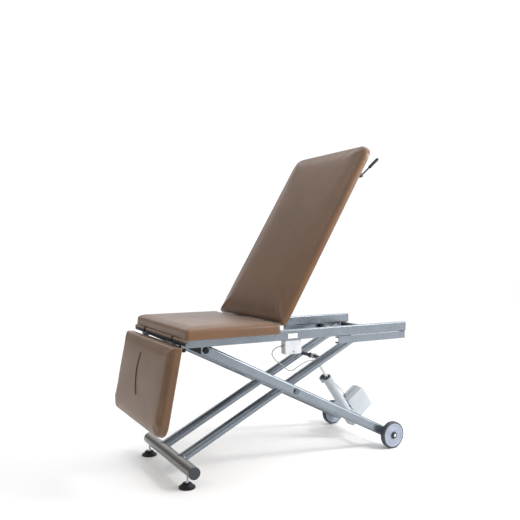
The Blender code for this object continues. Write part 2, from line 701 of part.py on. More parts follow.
# Top frame
for name, side in SIDES:
    low, high = sorted((side * RAIL_IN, side * RAIL_OUT))
    wall = RAIL_WALL
    section = rounded(low, high, RAIL_LOW, RAIL_HIGH, RAIL_CORNER, RAIL_CORNER)
    hollow = rounded(low + wall, high - wall, RAIL_LOW + wall, RAIL_HIGH - wall,
                     RAIL_CORNER - wall, RAIL_CORNER - wall)
    plug = rounded(low + wall, high - wall, RAIL_LOW + wall, RAIL_HIGH - wall,
                   RAIL_CORNER - wall, RAIL_CORNER - wall, CLEAR)
    rail = loft([ring(hollow, "X", RAIL_FRONT + wall), ring(hollow, "X", RAIL_REAR),
                 ring(section, "X", RAIL_REAR), ring(section, "X", RAIL_FRONT)])
    node("rail_" + name, rail, top, "frame_grey")
    cap_start = RAIL_REAR + CLEAR
    node("rail_cap_" + name, loft([ring(plug, "X", RAIL_CAP_PLUG), ring(plug, "X", cap_start),
                                   ring(section, "X", cap_start),
                                   ring(section, "X", RAIL_CAP_END)]), top, "dark_steel")
    mouth = side * RAIL_IN
    back_of = side * RAIL_OUT
    web = side * (RAIL_OUT - GUIDE_WALL)
    channel = [(mouth, GUIDE_LOW), (back_of, GUIDE_LOW), (back_of, GUIDE_HIGH),
               (mouth, GUIDE_HIGH), (mouth, GUIDE_HIGH - GUIDE_WALL),
               (web, GUIDE_HIGH - GUIDE_WALL), (web, GUIDE_LOW + GUIDE_WALL),
               (mouth, GUIDE_LOW + GUIDE_WALL)]
    guide = prism(channel, "X", GUIDE_FRONT, GUIDE_REAR)
    for start in (GUIDE_FRONT, GUIDE_REAR - GUIDE_SPACER):
        spacer = side_box(start, start + GUIDE_SPACER, side, RAIL_IN, RAIL_OUT,
                          GUIDE_HIGH - GUIDE_WALL / 2, SPACER_TOP)
        guide = joined(guide, spacer)
    node("guide_channel_" + name, guide, top, "frame_grey")
    bracket = plate(PLATE_OUTLINE, side, PLATE_IN, PLATE_OUT)
    profile = ((PLATE_SHOULDER_R, side * (PLATE_IN + EDGE)),
               (PLATE_SHOULDER_R, side * PLATE_SHOULDER_END),
               (PIVOT_SHAFT_R, side * PLATE_SHOULDER_END), (PIVOT_SHAFT_R, side * PLATE_PIN_END))
    pin = placed(lathe(profile, "Y", count=SMALL_ROUND), PIN_X, PIN_Z)
    node("pivot_bracket_" + name, joined(bracket, pin), top, "frame_grey")
node("front_cross_member", between(FRONT_MEMBER), top, "dark_steel")
node("rear_cross_tube", between(REAR_TUBE), top, "dark_steel")
lugs = between(PIVOT_TUBE)
for _, side in SIDES:
    lugs = joined(lugs, plate(GAS_LUG, side, GAS_LUG_IN, GAS_LUG_OUT))
pin = rod_across(GAS_PIN_R, GAS_X, GAS_Z, -GAS_LUG_OUT - PIN_PROUD, GAS_LUG_OUT + PIN_PROUD)
node("front_cross_tube", joined(lugs, pin), top, "frame_grey")
lugs = between(HINGE_TUBE)
for _, side in SIDES:
    lugs = joined(lugs, plate(LUG_OUTLINE, side, LUG_IN, LUG_OUT))
    low, high = sorted((side * (LUG_IN + EDGE), side * HINGE_PIN_END))
    lugs = joined(lugs, rod_across(HINGE_PIN_R, HINGE_X, HINGE_Z, low, high))
node("hinge_cross_tube", lugs, top, "frame_grey")
node("leg_hinge_shaft", rod_across(LEG_SHAFT_R, LEG_X, LEG_Z, -BETWEEN_RAILS, BETWEEN_RAILS),
     top, "dark_steel")
node("leg_stop_bar", box(STOP_BAR[0], STOP_BAR[1], -RAIL_OUT, RAIL_OUT, STOP_BAR[2],
                         STOP_BAR[3], STOP_BAR_CORNER), top, "black_plastic")
x_low, x_high, low, high = SEAT_BOX
node("seat_board", board(x_low, x_high, low, SMALL_CORNER, SMALL_CORNER), top, "board_wood")
node("seat_cushion", cushion(x_low, x_high, low, high, SMALL_CORNER, SMALL_CORNER), top,
     "vinyl_brown")
outline = rounded(BOX_X[0], BOX_X[1], BOX_Z[0], BOX_Z[1], BOX_CORNER, BOX_CORNER)
inset = rounded(BOX_X[0], BOX_X[1], BOX_Z[0], BOX_Z[1], BOX_CORNER, BOX_CORNER, BOX_EDGE)
node("control_box", loft([ring(inset, "Y", BOX_Y[0]), ring(outline, "Y", BOX_Y[0] + BOX_EDGE),
                          ring(outline, "Y", BOX_Y[1])]), top, "box_white")
node("label_plate", box(LABEL_X[0], LABEL_X[1], -RAIL_OUT - CLEAR - LABEL_THICK,
                        -RAIL_OUT - CLEAR, LABEL_Z[0], LABEL_Z[1]), top, "label_white")

# Back section, in its own level space with the hinge at the origin
x_low, x_high, low, high = BACK_BOX
node("back_board", board(x_low, x_high, low, BACK_FOOT_CORNER, BACK_HEAD_CORNER), back,
     "board_wood", local=True)
node("back_cushion", cushion(x_low, x_high, low, high, BACK_FOOT_CORNER, BACK_HEAD_CORNER), back,
     "vinyl_brown", local=True)
arm_outline = eye_arm(BACK_ARM_EYE_R, (BACK_ARM_START, BACK_ARM_LENGTH, BACK_ARM_LOW,
                                       BACK_ARM_HIGH))
for name, side in SIDES:
    arm = plate(arm_outline, side, BACK_ARM_IN, BACK_ARM_OUT)
    low, high = sorted((side * ARM_CUT_Y[0], side * ARM_CUT_Y[1]))
    arm = cut(arm, rod_across(HINGE_PIN_R + CLEAR, 0.0, 0.0, low, high))
    node("back_hinge_arm_" + name, arm, back, "frame_grey", local=True)
hook = box(HOOK_WEB[0], HOOK_WEB[1], -HOOK_OUT + EDGE, HOOK_OUT - EDGE, HOOK_WEB[2],
           HOOK_WEB[3])
for _, side in SIDES:
    hook = joined(hook, plate(HOOK_OUTLINE, side, HOOK_IN, HOOK_OUT))
local_bearing = GAS_BEARING - BACK_ANGLE
pin = rod_across(GAS_PIN_R, GAS_REACH * math.cos(local_bearing),
                 GAS_REACH * math.sin(local_bearing), -HOOK_OUT - EDGE, HOOK_OUT + EDGE)
node("gas_spring_bracket", joined(hook, pin), back, "frame_grey", local=True)
ear = prism(LEVER_EAR, "Y", EAR_Y[0], EAR_Y[1])
pin = rod_across(LEVER_PIN_R, LEVER_X, LEVER_N, LEVER_PIN_Y[0], LEVER_PIN_Y[1])
node("lever_bracket", joined(ear, pin), back, "dark_steel", local=True)
route = [(x, y, CABLE_N) for x, y in RELEASE_PATH]
cord("release_cable", route, CABLE_R, back, "black_plastic", local=True)
tip_x = LEVER_TIP_X - LEVER_X
tip_n = LEVER_TIP_N - LEVER_N
length = math.hypot(tip_x, tip_n)
profile = ((LEVER_R, 0.0), (LEVER_R, LEVER_GRIP_START),
           (LEVER_GRIP_R, LEVER_GRIP_START + LEVER_GRIP_TAPER),
           (LEVER_GRIP_R, length - LEVER_GRIP_TAPER), (LEVER_GRIP_R - LEVER_GRIP_BEVEL, length))
handle = placed(lathe(profile, "X", count=SMALL_ROUND), 0.0, 0.0, math.atan2(tip_n, tip_x))
handle = joined(handle, rod_across(LEVER_HUB_R, 0.0, 0.0, -LEVER_HUB_HALF, LEVER_HUB_HALF))
handle = cut(handle, rod_across(LEVER_PIN_R + CLEAR, 0.0, 0.0, -BORE_HALF, BORE_HALF))
node("release_lever", handle, lever, "dark_steel", local=True)

# Leg section, level space with the hinge at the origin and the section toward -X
x_low, x_high, low, high = LEG_BOX
slot_side = []
for k, (x, y) in enumerate(SLOT_PATH):
    before = SLOT_PATH[max(k - 1, 0)]
    after = SLOT_PATH[min(k + 1, len(SLOT_PATH) - 1)]
    heading = math.atan2(after[1] - before[1], after[0] - before[0])
    slot_side.append((x, y, heading))
slot = [(-x + SLOT_HALF * math.sin(a), y + SLOT_HALF * math.cos(a)) for x, y, a in slot_side]
end_x, end_y, end_a = slot_side[-1]
slot += [(-end_x - SLOT_HALF * math.cos(end_a), end_y + SLOT_HALF * math.sin(end_a))]
slot += [(-x - SLOT_HALF * math.sin(a), y - SLOT_HALF * math.cos(a))
         for x, y, a in reversed(slot_side)]
start_x, start_y, start_a = slot_side[0]
slot += [(-start_x + SLOT_HALF * math.cos(start_a), start_y - SLOT_HALF * math.sin(start_a))]
leg_pad = cushion(-x_high, -x_low, low, high, LEG_FOOT_CORNER, LEG_TOP_CORNER)
leg_pad = cut(leg_pad, prism(slot, "Z", low - BORE_HALF, high + BORE_HALF))
node("leg_cushion", leg_pad, leg, "vinyl_brown", local=True)
leg_base = board(-x_high, -x_low, low, LEG_FOOT_CORNER, LEG_TOP_CORNER)
leg_base = cut(leg_base, prism(slot, "Z", low - BORE_HALF, high + BORE_HALF))
node("leg_board", leg_base, leg, "board_wood", local=True)
arm_outline = eye_arm(LEG_ARM_EYE_R, (LEG_ARM_TIP, LEG_ARM_LENGTH, LEG_ARM_LOW, LEG_ARM_HIGH))
arm_outline = [(-x, n) for x, n in arm_outline]
for name, side in SIDES:
    arm = plate(arm_outline, side, LEG_ARM_IN, LEG_ARM_OUT)
    low, high = sorted((side * (LEG_ARM_IN - EDGE), side * (LEG_ARM_OUT + EDGE)))
    arm = cut(arm, rod_across(LEG_SHAFT_R + CLEAR, 0.0, 0.0, low, high))
    node("leg_hinge_arm_" + name, arm, leg, "frame_grey", local=True)

# Gas spring, each half in its own space along the line from pin to pin
profile = ((CYLINDER_BORE, CYLINDER_FLOOR), (CYLINDER_BORE, CYLINDER_END),
           (CYLINDER_R, CYLINDER_END), (CYLINDER_R, CYLINDER_START + EDGE),
           (CYLINDER_R - GAS_END_BEVEL, CYLINDER_START))
cylinder = lathe(profile, "X", count=SMALL_ROUND)
neck = box(0.0, CYLINDER_START + EDGE, -GAS_EYE_HALF, GAS_EYE_HALF, -GAS_NECK_HALF,
           GAS_NECK_HALF)
cylinder = joined(cylinder, neck)
cylinder = joined(cylinder, rod_across(GAS_EYE_R, 0.0, 0.0, -GAS_EYE_HALF, GAS_EYE_HALF))
cylinder = cut(cylinder, rod_across(GAS_PIN_R + CLEAR, 0.0, 0.0, -BORE_HALF, BORE_HALF))
node("gas_cylinder", cylinder, cylinder_frame, "black_plastic", local=True)
gas_rod = lathe(((GAS_ROD_R, -GAS_ROD_LENGTH), (GAS_ROD_R, -GAS_EYE_R / 2)), "X",
                count=SMALL_ROUND)
gas_rod = joined(gas_rod, rod_across(GAS_ROD_EYE_R, 0.0, 0.0, -GAS_EYE_HALF, GAS_EYE_HALF))
gas_rod = cut(gas_rod, rod_across(GAS_PIN_R + CLEAR, 0.0, 0.0, -BORE_HALF, BORE_HALF))
node("gas_rod", gas_rod, gas_rod_frame, "bright_steel", local=True)

# Actuator, each half in its own space along the line from pin to pin
profile = ((ACTUATOR_BORE, ACTUATOR_FLOOR), (ACTUATOR_BORE, ACTUATOR_END),
           (ACTUATOR_R, ACTUATOR_END), (ACTUATOR_R, ACTUATOR_START))
tube = lathe(profile, "X")
tube.transform(Matrix.Translation((0, 0, -TUBE_OFFSET)))
outline = rounded(GEARBOX[0], GEARBOX[1], GEARBOX[2], GEARBOX[3], GEARBOX_BEVEL, GEARBOX_BEVEL)
gears = prism(outline, "Y", -GEARBOX_HALF - GEARBOX_PROUD, GEARBOX_HALF + GEARBOX_PROUD)
tube = joined(tube, gears)
tube = cut(tube, rod_across(MOUNT_BAR_R + CLEAR, 0.0, 0.0, -BORE_HALF, BORE_HALF))
node("actuator_tube", tube, tube_frame, "actuator_grey", local=True)
outline = rounded(MOTOR[0], MOTOR[1], -MOTOR[3], -MOTOR[2], MOTOR_BEVEL, MOTOR_BEVEL)
motor_low = MOTOR_Y[0] - ACTUATOR_Y
motor_high = MOTOR_Y[1] - ACTUATOR_Y
inset = rounded(MOTOR[0], MOTOR[1], -MOTOR[3], -MOTOR[2], MOTOR_BEVEL, MOTOR_BEVEL, MOTOR_EDGE)
motor = loft([ring(inset, "Y", motor_low), ring(outline, "Y", motor_low + MOTOR_EDGE),
              ring(outline, "Y", motor_high - MOTOR_EDGE), ring(inset, "Y", motor_high)])
node("motor_housing", motor, tube_frame, "actuator_grey", local=True)
rod = lathe(((ROD_R, -ROD_LENGTH), (ROD_R, -ROD_EYE_R / 2)), "X", count=SMALL_ROUND)
rod = joined(rod, rod_across(ROD_EYE_R, 0.0, 0.0, -ROD_EYE_HALF, ROD_EYE_HALF))
rod = cut(rod, rod_across(CROSS_BAR_R + CLEAR, 0.0, 0.0, -BORE_HALF, BORE_HALF))
node("actuator_rod", rod, rod_frame, "zinc_steel", local=True)
cord("control_cable", CONTROL_PATH, CABLE_R, top, "cable_grey")

# Origin at the bottom centre of the couch's box
bpy.context.view_layer.update()
corners = [piece.matrix_world @ vertex.co for piece in bpy.context.scene.objects
           if piece.type == "MESH" for vertex in piece.data.vertices]
middle = (min(c.x for c in corners) + max(c.x for c in corners)) / 2
couch.location = (-middle, 0.0, -min(c.z for c in corners))
print("couch moved by", couch.location)
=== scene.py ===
"""The finished look of the examination couch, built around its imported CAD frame.

Metres, in the row frame: +Z up, +X towards the wheels, the near side is -Y.
"""

import json
import math

import bmesh
import bpy
from mathutils import Matrix, Vector
from mathutils.bvhtree import BVHTree


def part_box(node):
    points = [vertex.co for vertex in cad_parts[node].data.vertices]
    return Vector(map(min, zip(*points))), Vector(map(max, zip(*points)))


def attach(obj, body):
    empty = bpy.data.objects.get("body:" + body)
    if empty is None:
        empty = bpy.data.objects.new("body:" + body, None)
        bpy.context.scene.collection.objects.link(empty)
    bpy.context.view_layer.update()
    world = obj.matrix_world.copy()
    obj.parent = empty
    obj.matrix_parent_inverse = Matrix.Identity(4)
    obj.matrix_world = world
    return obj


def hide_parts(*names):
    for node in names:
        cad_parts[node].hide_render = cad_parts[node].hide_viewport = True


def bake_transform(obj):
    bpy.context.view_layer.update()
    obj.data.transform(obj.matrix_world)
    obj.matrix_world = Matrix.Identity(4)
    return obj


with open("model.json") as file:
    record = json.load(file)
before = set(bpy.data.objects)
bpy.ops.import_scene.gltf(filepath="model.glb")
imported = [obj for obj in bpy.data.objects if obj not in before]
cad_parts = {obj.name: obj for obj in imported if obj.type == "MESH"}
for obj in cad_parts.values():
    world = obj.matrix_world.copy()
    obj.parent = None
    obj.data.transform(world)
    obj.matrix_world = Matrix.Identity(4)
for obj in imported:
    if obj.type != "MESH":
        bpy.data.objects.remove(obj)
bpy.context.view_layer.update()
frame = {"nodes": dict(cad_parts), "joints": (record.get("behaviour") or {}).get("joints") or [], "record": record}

SIDES = (("near", -1), ("far", 1))
JOINTS = {joint["name"]: Vector(joint["pos_m"]) for joint in frame["joints"] if "pos_m" in joint}
BACK_ANGLE = math.radians(59.2)
LEG_ANGLE = math.radians(79.25)
ARM_ANGLE = math.radians(26.31)
SHARP = math.radians(35)
SHARP_COVER = math.radians(50)

# The point under the foot pads, from the place of the scissor's centre pivot
COUCH_X = JOINTS["scissor"].x - 0.625
CAMERA_AT = Vector((COUCH_X - 1.1188, -2.9716, 1.125))
CAMERA_TURN = math.radians(29.27)
CAMERA_DOWN = math.radians(0.90)
CAMERA_LENS = 42.7

# Studio: the far wall is white, the room behind the camera is dim
SKY_DIM = 0.24
SKY_BRIGHT = 1.12
BRIGHT_SIDE = math.radians(60)
LIGHTS = (("window", (3.4, -2.8, 2.1), (2.4, 2.4), (0.0, 0.0, 0.7), 105.0, (1.0, 0.985, 0.965)),
          ("rim", (1.7, -1.5, 2.2), (0.5, 0.5), (0.25, -0.36, 1.35), 34.0, (1.0, 0.95, 0.92)))
SKY_RAMP = (0.15, 0.56)
CEILING = 2.0
CEILING_SPREAD = math.radians(110)


def low(node):
    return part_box(node)[0]


def high(node):
    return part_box(node)[1]


def spaces():
    """Matrices from each moving section's own level space to the row frame."""
    back = Matrix.Translation(JOINTS["back_tilt"]) @ Matrix.Rotation(-BACK_ANGLE, 4, "Y")
    leg = Matrix.Translation(JOINTS["leg_tilt"]) @ Matrix.Rotation(-LEG_ANGLE, 4, "Y")
    push = JOINTS["actuator_stroke"] - JOINTS["actuator_tilt"]
    tilt = math.atan2(push.z, push.x)
    actuator = Matrix.Translation(JOINTS["actuator_tilt"]) @ Matrix.Rotation(-tilt, 4, "Y")
    return {"back": back, "leg": leg, "actuator": actuator, "level": Matrix.Identity(4)}


SPACE = spaces()


# ---------------------------------------------------------------- materials

class Paint:
    """A Principled material with its own coordinate, noise and bump helpers."""

    def __init__(self, name, colour, metallic, roughness, coat=0.0, specular=0.5):
        self.material = bpy.data.materials.new(name)
        self.material.use_nodes = True
        self.tree = self.material.node_tree
        self.shader = self.tree.nodes["Principled BSDF"]
        self.shader.inputs["Base Color"].default_value = (*colour, 1.0)
        self.shader.inputs["Metallic"].default_value = metallic
        self.shader.inputs["Roughness"].default_value = roughness
        self.shader.inputs["Coat Weight"].default_value = coat
        self.shader.inputs["Specular IOR Level"].default_value = specular
        self.colour = colour
        self.height = None
        coordinates = self.tree.nodes.new("ShaderNodeTexCoord")
        self.place = coordinates.outputs["Object"]

    def new(self, kind, **inputs):
        node = self.tree.nodes.new(kind)
        for name, value in inputs.items():
            node.inputs[name.replace("_", " ")].default_value = value
        return node

    def link(self, source, target):
        self.tree.links.new(source, target)

    def stretched(self, scale):
        mapping = self.new("ShaderNodeMapping")
        mapping.inputs["Scale"].default_value = scale
        self.link(self.place, mapping.inputs["Vector"])
        return mapping.outputs["Vector"]

    def noise(self, scale, detail=3.0, place=None):
        node = self.new("ShaderNodeTexNoise", Scale=scale, Detail=detail)
        self.link(place or self.place, node.inputs["Vector"])
        return node.outputs["Fac"]

    def cells(self, scale):
        node = self.new("ShaderNodeTexVoronoi", Scale=scale)
        self.link(self.place, node.inputs["Vector"])
        return node.outputs["Distance"]

    def ramp(self, source, dark, light, start=0.35, end=0.65):
        node = self.tree.nodes.new("ShaderNodeValToRGB")
        node.color_ramp.elements[0].position = start
        node.color_ramp.elements[1].position = end
        node.color_ramp.elements[0].color = (*dark, 1.0)
        node.color_ramp.elements[1].color = (*light, 1.0)
        self.link(source, node.inputs["Fac"])
        return node.outputs["Color"]

    def mottle(self, scale, amount, detail=4.0, place=None):
        """The colour varied a little to either side of its own value; comes before worn."""
        dark = [c * (1 - amount) for c in self.colour]
        light = [min(1.0, c * (1 + amount)) for c in self.colour]
        tint = self.ramp(self.noise(scale, detail, place), dark, light)
        self.link(tint, self.shader.inputs["Base Color"])

    def worn(self, amount):
        """Sparse small scuffs, a little lighter than the rest."""
        scuffs = self.ramp(self.noise(75.0, 8.0), (0, 0, 0), (1, 1, 1), 0.64, 0.74)
        mix = self.tree.nodes.new("ShaderNodeMix")
        mix.data_type = "RGBA"
        base = self.shader.inputs["Base Color"]
        self.link(base.links[0].from_socket, mix.inputs["A"])
        mix.inputs["B"].default_value = (*[min(1.0, c + amount) for c in self.colour], 1.0)
        self.link(scuffs, mix.inputs["Factor"])
        self.link(mix.outputs["Result"], base)

    def sheen_of_wear(self, scale, lowest, highest, place=None):
        """Roughness that drifts between two values."""
        node = self.new("ShaderNodeMapRange")
        node.inputs["To Min"].default_value = lowest
        node.inputs["To Max"].default_value = highest
        self.link(self.noise(scale, 3.0, place), node.inputs["Value"])
        self.link(node.outputs["Result"], self.shader.inputs["Roughness"])

    def bump(self, source, strength, distance):
        node = self.new("ShaderNodeBump", Strength=strength, Distance=distance)
        self.link(source, node.inputs["Height"])
        if self.height:
            self.link(self.height, node.inputs["Normal"])
        self.height = node.outputs["Normal"]
        self.link(self.height, self.shader.inputs["Normal"])


def vinyl():
    paint = Paint("vinyl", (0.150, 0.076, 0.036), 0.0, 0.36, specular=0.50)
    paint.shader.inputs["Sheen Weight"].default_value = 0.10
    paint.shader.inputs["Sheen Roughness"].default_value = 0.35
    paint.mottle(3.5, 0.10)
    paint.sheen_of_wear(9.0, 0.31, 0.45)
    paint.bump(paint.noise(26.0, 2.0), 0.25, 0.0012)
    paint.bump(paint.cells(900.0), 0.30, 0.00035)
    paint.bump(paint.noise(1900.0, 2.0), 0.16, 0.0002)
    return paint.material


def coated_metal(name, colour, roughness=0.34, metallic=0.82):
    paint = Paint(name, colour, metallic, roughness, coat=0.06)
    paint.mottle(14.0, 0.05)
    paint.worn(0.025)
    paint.sheen_of_wear(22.0, roughness - 0.07, roughness + 0.08)
    paint.bump(paint.noise(900.0, 2.0), 0.10, 0.00012)
    return paint.material


def brushed(name, colour, roughness, grain=(4.0, 400.0, 400.0)):
    paint = Paint(name, colour, 1.0, roughness)
    streaks = paint.stretched(grain)
    paint.mottle(3.0, 0.08, place=streaks)
    paint.sheen_of_wear(5.0, roughness - 0.06, roughness + 0.10, streaks)
    paint.bump(paint.noise(4.0, 3.0, streaks), 0.12, 0.00008)
    return paint.material


def moulded(name, colour, roughness=0.45, texture=1400.0, depth=0.00012, specular=0.5):
    paint = Paint(name, colour, 0.0, roughness, specular=specular)
    paint.mottle(20.0, 0.06)
    paint.worn(0.02)
    paint.sheen_of_wear(30.0, roughness - 0.06, roughness + 0.08)
    paint.bump(paint.cells(texture), 0.25, depth)
    return paint.material


def rubber():
    paint = Paint("tyre_rubber", (0.052, 0.062, 0.075), 0.0, 0.62)
    paint.mottle(60.0, 0.22)
    paint.worn(0.05)
    paint.sheen_of_wear(45.0, 0.50, 0.74)
    paint.bump(paint.noise(700.0, 3.0), 0.35, 0.0003)
    return paint.material


def plywood():
    paint = Paint("plywood", (0.34, 0.235, 0.145), 0.0, 0.62)
    grain = paint.stretched((2.0, 40.0, 2.0))
    paint.mottle(2.2, 0.24, 5.0, grain)
    paint.sheen_of_wear(8.0, 0.52, 0.72)
    paint.bump(paint.noise(3.0, 5.0, grain), 0.30, 0.0003)
    return paint.material


def cloth():
    paint = Paint("dust_cloth", (0.020, 0.020, 0.022), 0.0, 0.9)
    paint.mottle(500.0, 0.35)
    paint.sheen_of_wear(40.0, 0.82, 0.95)
    paint.bump(paint.noise(1200.0, 2.0), 0.5, 0.0004)
    return paint.material


MATERIALS = {
    "vinyl_brown": vinyl(),
    "frame_grey": coated_metal("silver_coat", (0.215, 0.245, 0.280), 0.28),
    "bar_grey": coated_metal("grey_coat", (0.215, 0.210, 0.205), 0.30),
    "board_wood": plywood(),
    "black_plastic": moulded("black_moulding", (0.008, 0.009, 0.012), 0.52, specular=0.3),
    "dark_steel": coated_metal("dark_coat", (0.050, 0.056, 0.066), 0.40, 0.4),
    "bright_steel": brushed("polished_steel", (0.78, 0.78, 0.79), 0.16),
    "zinc_steel": brushed("zinc_plate", (0.60, 0.62, 0.63), 0.32),
    "wheel_grey": moulded("wheel_moulding", (0.33, 0.375, 0.46), 0.42),
    "tyre_grey": rubber(),
    "actuator_grey": moulded("actuator_shell", (0.46, 0.505, 0.55), 0.40, 1100.0),
    "box_white": moulded("white_moulding", (0.60, 0.62, 0.65), 0.38, 1200.0),
    "label_white": moulded("plate_film", (0.86, 0.87, 0.88), 0.35, 2000.0, 0.00003),
    "cable_grey": moulded("cable_sheath", (0.30, 0.31, 0.32), 0.50, 1800.0, 0.00006),
}
CLOTH = cloth()
OWN = {
    "release_lever": moulded("lever_moulding", (0.010, 0.011, 0.014), 0.5, specular=0.25),
    # The cross bar's coat is darker than the frame grey as painted shade, for the shadow it lies in between the
    # inner tubes.
    "cross_bar": coated_metal("shaded_bar_coat", (0.115, 0.118, 0.125), 0.38, 0.6),
    "motor_housing": moulded("motor_shell", (0.50, 0.545, 0.585), 0.36, 1100.0),
    "pivot_shaft": coated_metal("shaft_coat", (0.120, 0.130, 0.145), 0.36, 0.6),
}


def finish_cad_nodes():
    """Every CAD node gets its slot's material, or the one of its own it is known by."""
    for entry in frame["record"]["subparts"]:
        piece = frame["nodes"][entry["node"]]
        piece.data.materials.clear()
        piece.data.materials.append(OWN.get(entry["node"]) or MATERIALS[entry["material_slot"]])
        piece.data.shade_smooth()
        piece.data.set_sharp_from_angle(angle=SHARP)


# ---------------------------------------------------------------- mesh helpers

def shown(name, bm, slot, body=None, space=None, material=None):
    """A finished piece from a bmesh, in the row frame or in a section's own space."""
    if space is not None:
        bm.transform(space)
    bmesh.ops.recalc_face_normals(bm, faces=bm.faces)
    piece = plain_object(name, bm)
    piece.data.shade_smooth()
    piece.data.set_sharp_from_angle(angle=SHARP)
    piece.data.materials.append(material or MATERIALS[slot])
    if body:
        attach(piece, body)
    return piece


def plain_object(name, bm):
    """An object of its own from a bmesh, which is used up."""
    mesh = bpy.data.meshes.new(name)
    bm.to_mesh(mesh)
    bm.free()
    piece = bpy.data.objects.new(name, mesh)
    bpy.context.scene.collection.objects.link(piece)
    return piece


def skin(bm, loops, closed=False):
    """Faces between loops of vertices, and over the two ends unless the loops close."""
    rings = [[bm.verts.new(point) for point in loop] for loop in loops]
    pairs = list(zip(rings, rings[1:]))
    if closed:
        pairs.append((rings[-1], rings[0]))
    else:
        bm.faces.new(rings[0])
        bm.faces.new(rings[-1])
    for one, two in pairs:
        for k in range(len(one)):
            after = (k + 1) % len(one)
            bm.faces.new((one[k], one[after], two[after], two[k]))


def turned(bm, profile, place, count=48, closed=False):
    """A lathe about local Z of the given matrix, from (radius, height) points."""
    skin(bm, [circle(place @ Matrix.Translation((0.0, 0.0, height)), radius, count)
              for radius, height in profile], closed)


def circle(place, radius, count):
    """Points round local Z of the given matrix."""
    return [place @ Vector((radius * math.cos(2 * math.pi * k / count),
                            radius * math.sin(2 * math.pi * k / count), 0.0))
            for k in range(count)]


def facing(point, direction):
    """Matrix whose Z runs along the direction from the point."""
    return Matrix.Translation(point) @ Vector(direction).to_track_quat("Z", "Y").to_matrix().to_4x4()


def hexagon(radius, height):
    return [Vector((radius * math.cos(math.pi / 3 * k), radius * math.sin(math.pi / 3 * k), height))
            for k in range(6)]


def bolt(bm, point, direction, size=0.0055):
    """Washer and chamfered hexagon head."""
    place = facing(point, direction)
    turned(bm, ((size * 1.55, 0.0), (size * 1.55, size * 0.22), (size * 1.35, size * 0.32)), place, 28)
    loops = [hexagon(size, size * 0.3), hexagon(size, size * 1.0), hexagon(size * 0.86, size * 1.18)]
    skin(bm, [[place @ point for point in loop] for loop in loops])


def screw(bm, point, direction, size=0.0035):
    """Domed screw head with a round drive recess."""
    place = facing(point, direction)
    turned(bm, ((size, 0.0), (size * 0.98, size * 0.25), (size * 0.78, size * 0.52),
                (size * 0.42, size * 0.62), (size * 0.36, size * 0.40), (size * 0.30, size * 0.18)),
           place, 24)


def swept(bm, points, radius, count=12, closed=False):
    """A round tube along points, with its rings carried along without twisting."""
    points = [Vector(point) for point in points]
    total = len(points)
    loops = []
    side = None
    for k, point in enumerate(points):
        if closed:
            heading = points[(k + 1) % total] - points[k - 1]
        else:
            heading = points[min(k + 1, total - 1)] - points[max(k - 1, 0)]
        heading.normalize()
        if side is None:
            side = heading.orthogonal().normalized()
        side = (side - heading * side.dot(heading)).normalized()
        up = heading.cross(side)
        loops.append([point + radius * (math.cos(2 * math.pi * j / count) * side
                                        + math.sin(2 * math.pi * j / count) * up)
                      for j in range(count)])
    skin(bm, loops, closed)


def block(bm, x, y, z, corner, place=Matrix.Identity(4), steps=4):
    """Box with rounded upright edges and eased rims."""
    ease = min(corner, 0.0012)
    loops = []
    for inset, height in ((ease, z[0]), (0.0, z[0] + ease), (0.0, z[1] - ease), (ease, z[1])):
        outline = rounded(x[0], x[1], y[0], y[1], corner, corner, inset, steps)
        loops.append([place @ Vector((a, b, height)) for a, b in outline])
    skin(bm, loops)


def rounded(a_low, a_high, b_low, b_high, corner_low, corner_high, inset=0.0, steps=8):
    """Outline of a rectangle with one corner radius at a_low and another at a_high."""
    points = []
    corners = ((a_high, b_high, -1, -1, corner_high), (a_low, b_high, 1, -1, corner_low),
               (a_low, b_low, 1, 1, corner_low), (a_high, b_low, -1, 1, corner_high))
    for quarter, (a, b, toward_a, toward_b, corner) in enumerate(corners):
        radius = max(corner - inset, 0.0008)
        centre_a = a + toward_a * (inset + radius)
        centre_b = b + toward_b * (inset + radius)
        for step in range(steps + 1):
            angle = math.pi / 2 * (quarter + step / steps)
            points.append((centre_a + radius * math.cos(angle), centre_b + radius * math.sin(angle)))
    return points


def smooth_path(route, spacing):
    """Even points along a Catmull-Rom curve through the route."""
    knots = [Vector(point) for point in route]
    ends = [2 * knots[0] - knots[1]] + knots + [2 * knots[-1] - knots[-2]]
    points = []
    for before, one, two, after in zip(ends, ends[1:], ends[2:], ends[3:]):
        steps = max(1, round((two - one).length / spacing))
        for step in range(steps):
            t = step / steps
            points.append(0.5 * (2 * one + (two - before) * t
                                 + (2 * before - 5 * one + 4 * two - after) * t * t
                                 + (3 * one - before - 3 * two + after) * t ** 3))
    points.append(knots[-1])
    return points


# ---------------------------------------------------------------- upholstery

